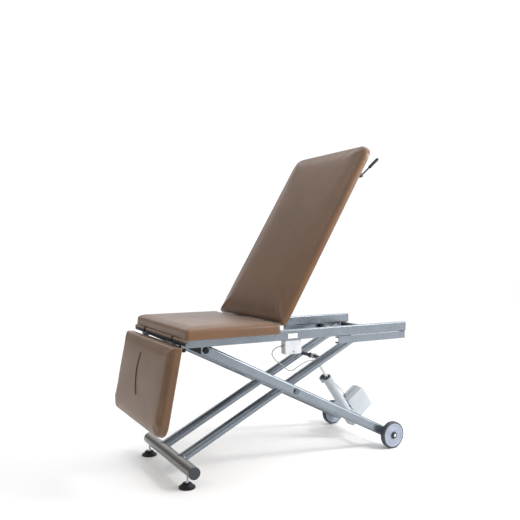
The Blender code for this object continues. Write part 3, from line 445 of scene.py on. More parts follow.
# SHRINK leaves room for the foam's push, CLOTH_CAP limits that push, FILL is the share of foam
HALF_WIDTH = high("seat_cushion")[1]
SHRINK = 0.0035
CROWN = 0.0045
CROWN_REACH = 0.06
CLOTH_CAP = 0.006
CLOTH_FRAMES = 20
CLOTH_STIFFNESS = 18.0
FOAM_PRESSURE = 4.0
STAPLED = 0.006
RAIL_EDGE = 0.292
SEAM_HEIGHT = 0.0095
SEAM_RADIUS = 0.0011
COVER_INSET = 0.018
STAPLE_SPACING = 0.045
STAPLE_HALF = 0.005
PADS = {
    "seat": {"space": "level", "body": "top_frame", "voxel": 0.0065,
             "x": (low("seat_cushion")[0], high("seat_cushion")[0]),
             "z": (low("seat_cushion")[2], high("seat_cushion")[2]), "corners": (0.016, 0.012),
             "round": 0.014, "front_lift": 0.0045, "rear_lift": 0.0025, "skirt": 0.0065},
    "back": {"space": "back", "body": "back", "voxel": 0.009,
             "x": (0.036, 1.1265), "z": (-0.0005, 0.0488), "corners": (0.016, 0.080),
             "round": 0.022, "front_lift": 0.0, "rear_lift": 0.004, "skirt": 0.0},
    "leg": {"space": "leg", "body": "leg", "voxel": 0.0065,
            "x": (-0.4325, -0.0138), "z": (0.0251, 0.0771), "corners": (0.070, 0.012),
            "round": 0.015, "front_lift": 0.001, "rear_lift": 0.001, "skirt": 0.0},
}


def pad_form(pad):
    """Closed pad: flat underside, rounded sides and a low crown."""
    (x_low, x_high), (z_low, z_high) = pad["x"], pad["z"]
    top = z_high - SHRINK
    bend = pad["round"]
    profile = [(0.030, z_low), (0.008, z_low), (0.0045, z_low + 0.003), (SHRINK, z_low + 0.010),
               (SHRINK - 0.001, (z_low + z_high) / 2 - 0.006)]
    for step in range(6):
        angle = math.pi / 2 * step / 5
        profile.append((SHRINK + bend * (1 - math.cos(angle)), top - bend * (1 - math.sin(angle))))
    widest = min(x_high - x_low, 2 * HALF_WIDTH) / 2 - 0.012
    for step in range(1, 9):
        inset = SHRINK + bend + (widest - SHRINK - bend) * step / 8
        rise = CROWN * (1 - math.exp(-inset / CROWN_REACH))
        profile.append((inset, top + rise))
    bm = bmesh.new()
    skin(bm, [[(a, b, height) for a, b in
               rounded(x_low, x_high, -HALF_WIDTH, HALF_WIDTH, *pad["corners"], inset)]
              for inset, height in profile])
    bmesh.ops.recalc_face_normals(bm, faces=bm.faces)
    return bm


def applied(piece):
    """Replace the piece's mesh with what its modifiers make of it."""
    graph = bpy.context.evaluated_depsgraph_get()
    mesh = bpy.data.meshes.new_from_object(piece.evaluated_get(graph))
    piece.modifiers.clear()
    piece.data = mesh


def inflate(piece, pad):
    """Fill the cover with foam pressure, holding the stapled underside still."""
    remesh = piece.modifiers.new("remesh", "REMESH")
    remesh.mode = "VOXEL"
    remesh.voxel_size = pad["voxel"]
    applied(piece)
    rest = [vertex.co.copy() for vertex in piece.data.vertices]
    held = piece.vertex_groups.new(name="stapled")
    base = pad["z"][0] + STAPLED
    held.add([k for k, co in enumerate(rest) if co.z < base], 1.0, "REPLACE")
    sim = piece.modifiers.new("cloth", "CLOTH")
    sim.settings.quality = 4
    sim.settings.mass = 0.4
    sim.settings.tension_stiffness = CLOTH_STIFFNESS
    sim.settings.compression_stiffness = CLOTH_STIFFNESS
    sim.settings.bending_stiffness = 0.8
    sim.settings.use_pressure = True
    sim.settings.uniform_pressure_force = FOAM_PRESSURE
    sim.settings.vertex_group_mass = "stapled"
    sim.settings.effector_weights.gravity = 0.0
    sim.point_cache.frame_start = 1
    sim.point_cache.frame_end = CLOTH_FRAMES
    for step in range(1, CLOTH_FRAMES + 1):
        bpy.context.scene.frame_set(step)
    applied(piece)
    bpy.context.scene.frame_set(1)
    for vertex, start in zip(piece.data.vertices, rest):
        move = vertex.co - start
        if move.length > CLOTH_CAP:
            vertex.co = start + move * (CLOTH_CAP / move.length)
    soften = piece.modifiers.new("soften", "SMOOTH")
    soften.factor = 0.5
    soften.iterations = 6
    finer = piece.modifiers.new("finer", "SUBSURF")
    finer.levels = 1
    finer.render_levels = 1
    applied(piece)


def fit(piece, pad):
    """Bring the filled pad to its own size, lift its ends and turn its skirt down past the rails."""
    limits = (pad["x"], (-HALF_WIDTH, HALF_WIDTH), (pad["z"][0], pad["z"][1] + CROWN))
    for axis, (start, end) in enumerate(limits):
        places = [vertex.co[axis] for vertex in piece.data.vertices]
        least, most = min(places), max(places)
        for vertex in piece.data.vertices:
            vertex.co[axis] = start + (vertex.co[axis] - least) * (end - start) / (most - least)
    (x_low, x_high), (z_low, z_high) = pad["x"], pad["z"]
    for vertex in piece.data.vertices:
        along = (vertex.co.x - x_low) / (x_high - x_low)
        up = (vertex.co.z - z_low) / (z_high - z_low)
        lift = pad["front_lift"] + (pad["rear_lift"] - pad["front_lift"]) * along
        over_rail = min(max((abs(vertex.co.y) - RAIL_EDGE) / 0.03, 0.0), 1.0)
        vertex.co.z += lift * up - pad["skirt"] * over_rail * max(1.0 - up * 1.6, 0.0)


SLOT_PATH = ((0.098, 0.032), (0.125, 0.0385), (0.150, 0.0435), (0.175, 0.0448),
             (0.205, 0.040), (0.235, 0.0305), (0.262, 0.0195), (0.280, 0.0075), (0.292, -0.004))
SLOT_HALF = 0.0068
SLOT_LIP = 0.0022


def half_turn(point, across):
    """Points round the end of a slot, from one of its sides to the other."""
    start = math.atan2(across.y, across.x)
    turns = [start - math.pi * k / 6 for k in range(1, 6)]
    return [point + across.length * Vector((math.cos(a), math.sin(a), 0.0)) for a in turns]


def slot_outline(half, spacing=0.006):
    """Points round the breathing slot, in the leg section's own space."""
    line = smooth_path([(-x, y, 0.0) for x, y in SLOT_PATH], spacing)
    sides = []
    for k in range(len(line)):
        heading = (line[min(k + 1, len(line) - 1)] - line[max(k - 1, 0)]).normalized()
        sides.append(Vector((-heading.y, heading.x, 0.0)) * half)
    one = [point + across for point, across in zip(line, sides)]
    two = [point - across for point, across in zip(line, sides)]
    return one + half_turn(line[-1], sides[-1]) + two[::-1] + half_turn(line[0], -sides[0])


def cut_slot(piece, pad):
    """Through slot for the face, with its cover turned in round the rim."""
    outline = slot_outline(SLOT_HALF)
    bm = bmesh.new()
    skin(bm, [[(p.x, p.y, z) for p in outline] for z in (pad["z"][0] - 0.02, pad["z"][1] + 0.03)])
    bmesh.ops.recalc_face_normals(bm, faces=bm.faces)
    cutter = plain_object("slot", bm)
    boolean = piece.modifiers.new("slot", "BOOLEAN")
    boolean.operation = "DIFFERENCE"
    boolean.object = cutter
    bpy.context.view_layer.update()
    applied(piece)
    bpy.data.objects.remove(cutter)


def upholster(name, pad):
    """The finished pad of one section, which takes its cushion's place."""
    piece = plain_object(name + "_pad", pad_form(pad))
    inflate(piece, pad)
    fit(piece, pad)
    surface = BVHTree.FromObject(piece, bpy.context.evaluated_depsgraph_get())
    if name == "leg":
        cut_slot(piece, pad)
    piece.data.transform(SPACE[pad["space"]])
    piece.data.shade_smooth()
    piece.data.set_sharp_from_angle(angle=SHARP_COVER)
    piece.data.materials.clear()
    piece.data.materials.append(MATERIALS["vinyl_brown"])
    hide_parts(name + "_cushion")
    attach(piece, pad["body"])
    return surface


def on_surface(surface, x, y, start):
    """Height of the pad's face above a point of its own level space."""
    hit = surface.ray_cast(Vector((x, y, start)), Vector((0, 0, -1)))[0]
    return hit.z if hit else start


def side_seam(name, pad, surface):
    """Fine sewn seam round the pad, where the side strip meets the underside turn."""
    (x_low, x_high), (z_low, _) = pad["x"], pad["z"]
    height = z_low + SEAM_HEIGHT
    middle = Vector(((x_low + x_high) / 2, 0.0, height))
    outline = rounded(x_low, x_high, -HALF_WIDTH, HALF_WIDTH, *pad["corners"], -0.02, 10)
    dense = []
    for k, (a, b) in enumerate(outline):
        c, d = outline[(k + 1) % len(outline)]
        steps = max(1, round(math.hypot(c - a, d - b) / 0.012))
        dense += [(a + (c - a) * s / steps, b + (d - b) * s / steps) for s in range(steps)]
    points = []
    margin = 0.09
    for a, b in dense:
        start = Vector((a, b, height))
        target = Vector((min(max(a, x_low + margin), x_high - margin),
                         min(max(b, margin - HALF_WIDTH), HALF_WIDTH - margin), height))
        hit = surface.ray_cast(start, (target - start).normalized())[0]
        if hit:
            points.append(hit + (middle - hit).normalized() * 0.0004)
    bm = bmesh.new()
    swept(bm, points, SEAM_RADIUS, 8, closed=True)
    shown(name + "_seam", bm, "vinyl_brown", pad["body"], SPACE[pad["space"]])


def slot_welt(pad, surface):
    """Rolled vinyl lip round the breathing slot, and its lining through the foam."""
    outline = slot_outline(SLOT_HALF + SLOT_LIP * 0.4, 0.004)
    lip = [(p.x, p.y, on_surface(surface, p.x, p.y, pad["z"][1] + 0.05) - 0.0006) for p in outline]
    bm = bmesh.new()
    swept(bm, lip, SLOT_LIP, 10, closed=True)
    shown("slot_welt", bm, "vinyl_brown", pad["body"], SPACE["leg"])


def underside_cover(name, pad):
    """Thin dust cloth stapled under the board."""
    (x_low, x_high), (z_low, _) = pad["x"], pad["z"]
    space = SPACE[pad["space"]]
    bm = bmesh.new()
    outline = rounded(x_low, x_high, -HALF_WIDTH, HALF_WIDTH, *pad["corners"], COVER_INSET, 6)
    skin(bm, [[(a, b, z) for a, b in outline] for z in (z_low - 0.00028, z_low - 0.0001)])
    shown(name + "_dust_cloth", bm, "black_plastic", pad["body"], space, CLOTH)
    bm = bmesh.new()
    staple = ((-STAPLE_HALF, 0, 0), (0, 0, -0.00005), (STAPLE_HALF, 0, 0))
    outline = rounded(x_low, x_high, -HALF_WIDTH, HALF_WIDTH, *pad["corners"],
                      COVER_INSET + 0.006, 6)
    for k, (a, b) in enumerate(outline):
        c, d = outline[(k + 1) % len(outline)]
        run = math.hypot(c - a, d - b)
        if run < 2 * STAPLE_HALF:
            continue
        count = max(1, int(run / STAPLE_SPACING))
        for s in range(count):
            share = (s + 0.5) / count
            place = (Matrix.Translation((a + (c - a) * share, b + (d - b) * share, z_low - 0.0001))
                     @ Matrix.Rotation(math.atan2(d - b, c - a), 4, "Z"))
            swept(bm, [place @ Vector(point) for point in staple], 0.0003, 6)
    shown(name + "_staples", bm, "zinc_steel", pad["body"], space)


def upholstery():
    """All three pads with their seams, the slot's welt and the covers underneath."""
    for name, pad in PADS.items():
        surface = upholster(name, pad)
        side_seam(name, pad, surface)
        if name == "leg":
            slot_welt(pad, surface)
        else:
            underside_cover(name, pad)


# ---------------------------------------------------------------- frame details

# The actuator's motor box, in the actuator's own space
MOTOR_ALONG = (-0.040, 0.100)
MOTOR_ACROSS = (-0.174, -0.035)
MOTOR_DEEP = (0.010, 0.100)
MOTOR_CORNER = 0.014
# The tube's axis above the actuator's own
TUBE_RISE = 0.005
SPINDLE_TILT = math.radians(16.47)
TREAD_RADIUS = 0.0750
# How far from the middle the gaps for the leg section's arms begin and end
ARM_NOTCH = (0.188, 0.212)
# The release lever, in the back section's own space; the grip starts this far from its pivot
LEVER_PIVOT = Vector((0.955, -0.3398, -0.016))
LEVER_TIP = Vector((1.0968, -0.3398, -0.0632))
GRIP_START = 0.072
GRIP_RIBS = 14
INNER_TUBE = 0.024
BEAD_LIFT = 0.0008
BEAD_RADIUS = 0.0026
RAIL_FACE = high("rail_far")[1]


def weld_beads():
    """Beads where the inner tubes meet the foot bar."""
    bar_low, bar_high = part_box("foot_bar")
    centre = Vector([(a + b) / 2 for a, b in zip(bar_low, bar_high)])
    around_bar = (bar_high[2] - bar_low[2]) / 2 + BEAD_LIFT
    around_tube = INNER_TUBE + BEAD_LIFT
    pivot = JOINTS["scissor"]
    along = Vector((math.cos(ARM_ANGLE), 0.0, math.sin(ARM_ANGLE)))
    up = Vector((-math.sin(ARM_ANGLE), 0.0, math.cos(ARM_ANGLE)))
    for name, _ in SIDES:
        node_low, node_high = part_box("inner_tube_" + name)
        y_axis = (node_low[1] + node_high[1]) / 2
        points = []
        for k in range(64):
            turn = 2 * math.pi * k / 64
            offset = (Vector((0, math.cos(turn), 0)) + math.sin(turn) * up) * around_tube
            start = Vector((pivot.x, y_axis, pivot.z)) + offset
            gap = start - centre
            gap.y = 0.0
            back = gap.dot(along)
            off_axis = gap.dot(gap) - back * back
            reach = math.sqrt(max(around_bar ** 2 - off_axis, 0.0)) - back
            ripple = 0.0003 * math.sin(turn * 17)
            points.append(start + along * (reach + ripple))
        bm = bmesh.new()
        swept(bm, points, BEAD_RADIUS, 10, closed=True)
        shown("foot_weld_" + name, bm, "frame_grey", "inner_arms")


def pivot_caps():
    """Black round caps over the front pivots and dark washers at the centre pivot."""
    for name, side in SIDES:
        face = side * abs(high("outer_arm_far")[1])
        at = Vector((JOINTS["frame_level"].x, face, JOINTS["frame_level"].z))
        bm = bmesh.new()
        turned(bm, ((0.0158, 0.0002), (0.0162, 0.0016), (0.0160, 0.0050), (0.0142, 0.0072),
                    (0.0100, 0.0080), (0.0040, 0.0082)), facing(at, (0, side, 0)))
        shown("pivot_cap_" + name, bm, "black_plastic", "outer_arms")
        at = Vector((JOINTS["scissor"].x, face, JOINTS["scissor"].z))
        bm = bmesh.new()
        turned(bm, ((0.0105, 0.0002), (0.0140, 0.0002), (0.0140, 0.0010), (0.0134, 0.0014),
                    (0.0120, 0.0014)), facing(at, (0, side, 0)))
        shown("pivot_washer_" + name, bm, "dark_steel", "inner_arms")


def wheels():
    """Ribbed wheel faces, dark hub rings, bright axle bolts and tread grooves."""
    axle = JOINTS["wheel_turn_near"]
    for name, side in SIDES:
        node_low, node_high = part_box("tyre_" + name)
        outer = max(abs(node_low[1]), abs(node_high[1]))
        inner = min(abs(node_low[1]), abs(node_high[1]))
        body = "wheel_set_" + name
        at = Vector((axle.x, side * (outer - 0.002), axle.z))
        place = facing(at, (0, side, 0))
        bm = bmesh.new()
        for radius in (0.030, 0.038, 0.046, 0.0525):
            swept(bm, circle(place, radius, 96), 0.0007, 6, closed=True)
        for spoke in range(5):
            turn = 2 * math.pi * spoke / 5
            spot = place @ Vector((0.049 * math.cos(turn), 0.049 * math.sin(turn), 0.0))
            screw(bm, spot, (0, side, 0), 0.0028)
        shown("wheel_ribs_" + name, bm, "wheel_grey", body)
        bm = bmesh.new()
        turned(bm, ((0.0140, 0.002), (0.0190, 0.0018), (0.0198, 0.0030), (0.0190, 0.0050),
                    (0.0160, 0.0058), (0.0142, 0.0050)), place, closed=True)
        shown("hub_ring_" + name, bm, "dark_steel", body)
        bm = bmesh.new()
        face = Vector((axle.x, side * (high("wheel_axle")[1] - 0.0025), axle.z))
        turned(bm, ((0.0136, -0.0030), (0.0137, 0.0010), (0.0130, 0.0024), (0.0112, 0.0028),
                    (0.0074, 0.0028), (0.0074, 0.0010)), facing(face, (0, side, 0)), closed=True)
        shown("axle_cap_" + name, bm, "dark_steel", "outer_arms")
        bm = bmesh.new()
        end = Vector((axle.x, side * high("wheel_axle")[1], axle.z))
        turned(bm, ((0.0072, 0.0000), (0.0071, 0.0016), (0.0055, 0.0030), (0.0022, 0.0035)),
               facing(end, (0, side, 0)))
        shown("axle_bolt_" + name, bm, "bright_steel", "outer_arms")
        bm = bmesh.new()
        for share in (0.30, 0.70):
            y = side * (inner + (outer - inner) * share)
            ring = [Vector((axle.x + TREAD_RADIUS * math.cos(math.pi * k / 60), y,
                            axle.z + TREAD_RADIUS * math.sin(math.pi * k / 60))) for k in range(120)]
            swept(bm, ring, 0.0006, 6, closed=True)
        shown("tread_lines_" + name, bm, "tyre_grey", body)


def feet():
    """Grip rings on the pads and thread turns on the spindles."""
    for name, _ in SIDES:
        node_low, node_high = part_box("foot_pad_" + name)
        at = Vector(((node_low[0] + node_high[0]) / 2, (node_low[1] + node_high[1]) / 2, 0.0))
        bm = bmesh.new()
        for radius, height in ((0.0398, 0.0040), (0.0340, 0.0102), (0.0225, 0.0222)):
            ring = circle(Matrix.Translation(at + Vector((0, 0, height))), radius, 80)
            swept(bm, ring, 0.0008, 6, closed=True)
        shown("pad_rings_" + name, bm, "black_plastic", "feet")
        spindle = Matrix.Translation(at + Vector((0, 0, JOINTS["height"].z)))
        spindle = spindle @ Matrix.Rotation(SPINDLE_TILT, 4, "Y")
        bm = bmesh.new()
        turns = 8
        helix = [spindle @ Vector((0.0060 * math.cos(2 * math.pi * k / 16),
                                   0.0060 * math.sin(2 * math.pi * k / 16),
                                   0.0108 + 0.0102 * k / (16 * turns)))
                 for k in range(16 * turns)]
        swept(bm, helix, 0.0005, 6)
        shown("spindle_thread_" + name, bm, "bright_steel", "inner_arms")


def actuator():
    """Gland, collar, cover seam and screws of the lifting actuator."""
    space = SPACE["actuator"]
    across = Matrix.Rotation(math.pi / 2, 4, "Y")
    bm = bmesh.new()
    collar = space @ Matrix.Translation((0.0, 0.0, TUBE_RISE))
    turned(bm, ((0.0279, 0.300), (0.0288, 0.3012), (0.0288, 0.3250), (0.0280, 0.3278),
                (0.0262, 0.3285), (0.0255, 0.3275), (0.0255, 0.322), (0.0279, 0.318)),
           collar @ across, closed=True)
    shown("tube_collar", bm, "actuator_grey", "actuator_body")
    bm = bmesh.new()
    centre = space @ across
    turned(bm, ((0.0102, 0.3180), (0.0200, 0.3182), (0.0252, 0.3200), (0.0250, 0.3232),
                (0.0150, 0.3250), (0.0112, 0.3300), (0.0102, 0.3295)), centre, closed=True)
    shown("rod_wiper", bm, "tyre_grey", "actuator_body")
    bm = bmesh.new()
    for reach in (0.075, 0.082):
        ring = [collar @ Vector((reach, 0.0277 * math.cos(math.pi * k / 36),
                                 0.0277 * math.sin(math.pi * k / 36))) for k in range(72)]
        swept(bm, ring, 0.0008, 6, closed=True)
    shown("tube_rings", bm, "actuator_grey", "actuator_body")
    bm = bmesh.new()
    outline = rounded(*MOTOR_ALONG, *MOTOR_ACROSS, MOTOR_CORNER, MOTOR_CORNER, -0.0006, 10)
    height = MOTOR_DEEP[0] + 0.022
    swept(bm, [space @ Vector((a, height, b)) for a, b in outline], 0.0011, 8, closed=True)
    shown("motor_cover_seam", bm, "dark_steel", "actuator_body")
    bm = bmesh.new()
    for a in (MOTOR_ALONG[0] + MOTOR_CORNER, MOTOR_ALONG[1] - MOTOR_CORNER):
        for b in (MOTOR_ACROSS[0] + MOTOR_CORNER, MOTOR_ACROSS[1] - MOTOR_CORNER):
            screw(bm, space @ Vector((a, MOTOR_DEEP[0], b)), (0, -1, 0), 0.0036)
            screw(bm, space @ Vector((a, MOTOR_DEEP[1], b)), (0, 1, 0), 0.0036)
    for a in (-0.012, 0.020, 0.050):
        for b in (-0.026, 0.026):
            screw(bm, space @ Vector((a, -0.0285, b)), (0, -1, 0), 0.0032)
    shown("actuator_screws", bm, "zinc_steel", "actuator_body")
    bm = bmesh.new()
    block(bm, (0.006, 0.070), (-0.026, 0.026), (-0.0350, -0.0337), 0.004, space)
    shown("gear_cover_rib", bm, "dark_steel", "actuator_body")


def mount_collars():
    """Snap rings beside the actuator eye and on the cross bar."""
    for name, at, radius, half, body in (
            ("mount_collar", JOINTS["actuator_tilt"], 0.0125, 0.0305, "outer_arms"),
            ("bar_collar", JOINTS["actuator_stroke"], 0.0105, 0.0120, "inner_arms")):
        bm = bmesh.new()
        for side in (-1, 1):
            centre = Vector((at.x, at.y + side * half, at.z))
            turned(bm, ((radius + 0.0002, 0.0), (radius + 0.005, 0.0), (radius + 0.005, 0.003),
                        (radius + 0.0002, 0.004)), facing(centre, (0, side, 0)), 40, closed=True)
        shown(name, bm, "dark_steel", body)


def control_box():
    """Socket, lid seam and screws of the control box, and the blank plate's rivets."""
    box_low, box_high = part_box("control_box")
    x = (box_low[0], box_high[0])
    z = (box_low[2], box_high[2])
    face = box_low[1]
    bm = bmesh.new()
    middle = (x[0] + x[1]) / 2
    turned(bm, ((0.0062, 0.0), (0.0062, 0.0030), (0.0050, 0.0036), (0.0038, 0.0036),
                (0.0034, 0.0010)), facing((middle + 0.004, face, z[0] + 0.014), (0, -1, 0)), 32)
    shown("box_socket", bm, "zinc_steel", "top_frame")
    bm = bmesh.new()
    outline = rounded(x[0], x[1], z[0], z[1], 0.006, 0.006, -0.0003, 8)
    swept(bm, [(a, face + 0.012, b) for a, b in outline], 0.0007, 8, closed=True)
    shown("box_seam", bm, "box_white", "top_frame")
    bm = bmesh.new()
    for a in (x[0] + 0.008, x[1] - 0.008):
        for b in (z[0] + 0.008, z[1] - 0.008):
            screw(bm, (a, face, b), (0, -1, 0), 0.0026)
    plate_low, plate_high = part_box("label_plate")
    for a in (plate_low[0] + 0.004, plate_high[0] - 0.004):
        screw(bm, (a, plate_low[1], (plate_low[2] + plate_high[2]) / 2), (0, -1, 0), 0.0016)
    shown("box_screws", bm, "zinc_steel", "top_frame")


def section_bolts():
    """Bolts through the hinge arms into the boards, and rail bolts."""
    bm = bmesh.new()
    for _, side in SIDES:
        for x in (0.050, 0.090, 0.130):
            bolt(bm, SPACE["back"] @ Vector((x, side * 0.2105, -0.0073)), (0, side, 0), 0.0045)
    shown("back_arm_bolts", bm, "zinc_steel", "back")
    bm = bmesh.new()
    for _, side in SIDES:
        for x in (0.070, 0.110, 0.138):
            bolt(bm, SPACE["leg"] @ Vector((-x, side * 0.2025, 0.0105)), (0, side, 0), 0.0055)
    shown("leg_arm_bolts", bm, "zinc_steel", "leg")
    rail_low, rail_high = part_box("rail_near")
    bm = bmesh.new()
    for _, side in SIDES:
        for node in ("front_cross_member", "hinge_cross_tube", "rear_cross_tube"):
            node_low, node_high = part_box(node)
            x = (node_low[0] + node_high[0]) / 2
            spot = Vector((x, side * RAIL_FACE, (rail_low[2] + rail_high[2]) / 2))
            screw(bm, spot, (0, side, 0), 0.0042)
    shown("rail_screws", bm, "frame_grey", "top_frame")


def notched_strip(bm, profile, half):
    """A strip across the seat's front, open where the leg section's arms pass."""
    near, far = ARM_NOTCH
    for ends in ((-half, -far), (-near, near), (far, half)):
        skin(bm, [[(x, y, z) for x, z in profile] for y in ends])


def seat_front_lip():
    """Covered lip of the seat's board over the hinge of the leg section, notched for its arms, with a black strip
    under it as painted shade in the gap.
    """
    back_x = low("seat_cushion")[0] - 0.0002
    profile = ((back_x, 0.7142), (back_x - 0.0028, 0.7136), (back_x - 0.0062, 0.7108),
               (back_x - 0.0080, 0.7072), (back_x - 0.0080, 0.7040), (back_x - 0.0060, 0.7026),
               (back_x + 0.0070, 0.7026), (back_x + 0.0070, 0.7142))
    bm = bmesh.new()
    notched_strip(bm, profile, HALF_WIDTH - 0.004)
    shown("seat_front_lip", bm, "vinyl_brown", "top_frame")
    # Black strip below the lip: painted shade, a dark sheet standing for the shadow in the gap above the leg
    # section.
    bm = bmesh.new()
    profile = ((back_x - 0.0058, 0.7026), (back_x - 0.0070, 0.6990), (back_x - 0.0064, 0.6905),
               (back_x - 0.0040, 0.6860), (back_x - 0.0015, 0.6862), (back_x - 0.0010, 0.6905),
               (back_x + 0.0010, 0.7026))
    notched_strip(bm, profile, HALF_WIDTH - 0.002)
    shown("gap_shade_flap", bm, "black_plastic", "top_frame")


def stop_bar_ends():
    """Moulded end plugs of the stop bar and of the guide channels, and white strips in the gap between each rail
    and its guide channel, painted light for the bright backdrop seen through that gap.
    """
    bm = bmesh.new()
    bar_low, bar_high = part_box("leg_stop_bar")
    for _, side in SIDES:
        end = side * bar_high[1]
        place = facing(Vector(((bar_low[0] + bar_high[0]) / 2, end, (bar_low[2] + bar_high[2]) / 2)),
                       (0, side, 0))
        half = (bar_high[0] - bar_low[0]) / 2
        block(bm, (-half + 0.0006, half - 0.0006), (-0.0072, 0.0072), (0.0002, 0.0030), 0.002, place)
    shown("stop_bar_plugs", bm, "black_plastic", "top_frame")
    bm = bmesh.new()
    gap_light_strips = bmesh.new()
    for name, side in SIDES:
        node_low, node_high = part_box("guide_channel_" + name)
        rail_face = side * RAIL_FACE
        y_pair = sorted((rail_face - side * 0.012, rail_face + side * 0.0002))
        # White strip filling the gap under the rail: painted light standing for the backdrop seen through the gap.
        block(gap_light_strips, (node_low[0] + 0.085, node_high[0] - 0.045), y_pair,
              (high("guide_channel_far")[2] - 0.0018, low("rail_far")[2] - 0.0002), 0.0004)
        inner = side * min(abs(node_low[1]), abs(node_high[1]))
        outer = side * max(abs(node_low[1]), abs(node_high[1]))
        y = sorted((inner, outer))
        for x in ((node_low[0] - 0.0030, node_low[0] + 0.006), (node_high[0] - 0.007, node_high[0])):
            for z in ((node_low[2] + 0.0034, node_low[2] + 0.0085),
                      (node_high[2] - 0.0110, node_high[2] - 0.0070)):
                block(bm, x, (y[0] + 0.0034, y[1] - 0.0034), z, 0.001)
    shown("guide_stops", bm, "black_plastic", "top_frame")
    shown("guide_gap_light_strips", gap_light_strips, "box_white", "top_frame")


# ---------------------------------------------------------------- cables

CONTROL_PATH = ((0.5372, -0.257, 0.629), (0.515, -0.252, 0.628), (0.500, -0.240, 0.617),
                (0.496, -0.225, 0.602), (0.500, -0.211, 0.585), (0.516, -0.198, 0.565),
                (0.541, -0.183, 0.5435), (0.572, -0.165, 0.525), (0.605, -0.149, 0.504),
                (0.633, -0.134, 0.484), (0.664, -0.119, 0.468), (0.695, -0.106, 0.4655),
                (0.725, -0.091, 0.472), (0.758, -0.076, 0.4800), (0.795, -0.060, 0.488),
                (0.845, -0.040, 0.494), (0.900, -0.012, 0.484), (0.960, 0.016, 0.444),
                (1.020, 0.034, 0.388), (1.080, 0.040, 0.332), (1.122, 0.039, 0.290),
                (1.1375, 0.037, 0.2750), (1.1489, 0.035, 0.2590), (1.1630, 0.035, 0.2396))
CABLE_RADIUS = 0.0025


def cables():
    """The control lead from the box to the motor, with a gland at each end."""
    points = smooth_path([(COUCH_X + x, y, z) for x, y, z in CONTROL_PATH], 0.008)
    bm = bmesh.new()
    swept(bm, points, CABLE_RADIUS, 16)
    cable = shown("control_lead", bm, "cable_grey")
    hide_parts("control_cable")
    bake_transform(cable)
    for name, point, after, body, radius in (
            ("box_gland", points[0], points[2], "top_frame", 0.0058),
            ("motor_gland", points[-1], points[-3], "actuator_body", 0.0072)):
        bm = bmesh.new()
        heading = after - point
        bore = radius - 0.0033
        profile = ((radius, -0.0035), (radius, 0.003), (radius * 0.82, 0.004), (radius * 0.78, 0.008),
                   (bore + 0.0008, 0.013), (bore + 0.0002, 0.0135), (bore, 0.010), (bore, -0.003))
        turned(bm, profile, facing(point, heading), 32, closed=True)
        shown(name, bm, "cable_grey", body)


def release():
    """Ribbed grip on the release lever and clips along its cable."""
    space = SPACE["back"]
    heading = (LEVER_TIP - LEVER_PIVOT).normalized()
    end = (LEVER_TIP - LEVER_PIVOT).length
    bm = bmesh.new()
    profile = []
    for k in range(GRIP_RIBS * 4 + 1):
        along = GRIP_START + (end - 0.006 - GRIP_START) * k / (GRIP_RIBS * 4)
        profile.append((0.0074 + (0.0005 if k % 4 in (1, 2) else 0.0), along))
    profile += [(0.0070, end - 0.003), (0.0050, end + 0.0004), (0.0020, end + 0.001)]
    turned(bm, [(0.0050, GRIP_START - 0.004)] + profile, facing(LEVER_PIVOT, heading), 32)
    shown("lever_grip", bm, "black_plastic", "lever", space)
    bm = bmesh.new()
    for x, y in ((0.900, -0.2205), (0.700, -0.165), (0.500, -0.110), (0.300, -0.051)):
        arc = [Vector((x, y, -0.0042)) + 0.0030 * Vector((0, math.cos(a), math.sin(a)))
               for a in [math.pi + math.pi * k / 8 for k in range(9)]]
        swept(bm, arc, 0.0009, 8)
        screw(bm, Vector((x, y + 0.0085, -0.0008)), (0, 0, -1), 0.0026)
    shown("cable_clips", bm, "black_plastic", "back", space)


# ---------------------------------------------------------------- studio

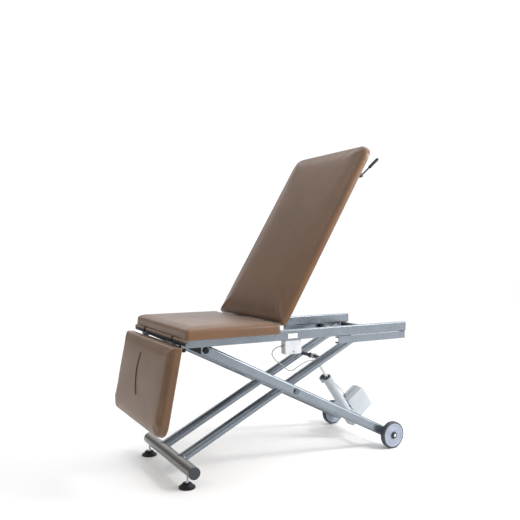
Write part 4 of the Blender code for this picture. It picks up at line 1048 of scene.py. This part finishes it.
def sky():
    """A studio cyclorama: white beyond the couch, dimmer behind and to the left of the camera."""
    world = bpy.data.worlds.new("studio")
    world.use_nodes = True
    tree = world.node_tree
    background = tree.nodes["Background"]
    where = tree.nodes.new("ShaderNodeTexCoord")
    facing_wall = tree.nodes.new("ShaderNodeVectorMath")
    facing_wall.operation = "DOT_PRODUCT"
    facing_wall.inputs[1].default_value = (math.sin(BRIGHT_SIDE), math.cos(BRIGHT_SIDE), 0.0)
    ramp = tree.nodes.new("ShaderNodeMapRange")
    ramp.interpolation_type = "SMOOTHSTEP"
    ramp.inputs["From Min"].default_value = SKY_RAMP[0]
    ramp.inputs["From Max"].default_value = SKY_RAMP[1]
    ramp.inputs["To Min"].default_value = SKY_DIM
    ramp.inputs["To Max"].default_value = SKY_BRIGHT
    tree.links.new(where.outputs["Generated"], facing_wall.inputs[0])
    tree.links.new(facing_wall.outputs["Value"], ramp.inputs["Value"])
    tree.links.new(ramp.outputs["Result"], background.inputs["Strength"])
    background.inputs["Color"].default_value = (0.985, 0.992, 1.0, 1.0)
    bpy.context.scene.world = world


def studio():
    """Pale floor, cyclorama and soft lights."""
    bm = bmesh.new()
    reach = 40.0
    bm.faces.new([bm.verts.new(point) for point in
                  ((-reach, -reach, 0), (reach, -reach, 0), (reach, reach, 0), (-reach, reach, 0))])
    mesh = bpy.data.meshes.new("floor")
    bm.to_mesh(mesh)
    bm.free()
    floor = bpy.data.objects.new("floor", mesh)
    bpy.context.scene.collection.objects.link(floor)
    paint = Paint("floor_paint", (0.90, 0.90, 0.90), 0.0, 0.9, specular=0.1)
    floor.data.materials.append(paint.material)
    sky()
    for name, spot, size, target, power, colour in LIGHTS:
        data = bpy.data.lights.new(name, "AREA")
        data.shape = "RECTANGLE"
        data.size, data.size_y = size
        data.energy = power
        data.color = colour
        light = bpy.data.objects.new(name, data)
        light.location = spot
        aim = Vector(target) - Vector(spot)
        light.rotation_euler = aim.to_track_quat("-Z", "Y").to_euler()
        bpy.context.scene.collection.objects.link(light)
    ceiling = bpy.data.lights.new("ceiling", "SUN")
    ceiling.energy = CEILING
    ceiling.angle = CEILING_SPREAD
    holder = bpy.data.objects.new("ceiling", ceiling)
    bpy.context.scene.collection.objects.link(holder)
    bpy.context.scene.view_settings.view_transform = "Standard"


def camera():
    """A level-eyed camera at the couch's front corner."""
    data = bpy.data.cameras.new("camera")
    data.lens = CAMERA_LENS
    data.sensor_width = 36.0
    data.clip_end = 200.0
    holder = bpy.data.objects.new("camera", data)
    holder.location = CAMERA_AT
    holder.rotation_euler = (math.pi / 2 - CAMERA_DOWN, 0.0, -CAMERA_TURN)
    bpy.context.scene.collection.objects.link(holder)
    bpy.context.scene.camera = holder


camera()
finish_cad_nodes()
cables()
upholstery()
weld_beads()
pivot_caps()
wheels()
feet()
actuator()
mount_collars()
control_box()
section_bolts()
seat_front_lip()
stop_bar_ends()
release()
studio()
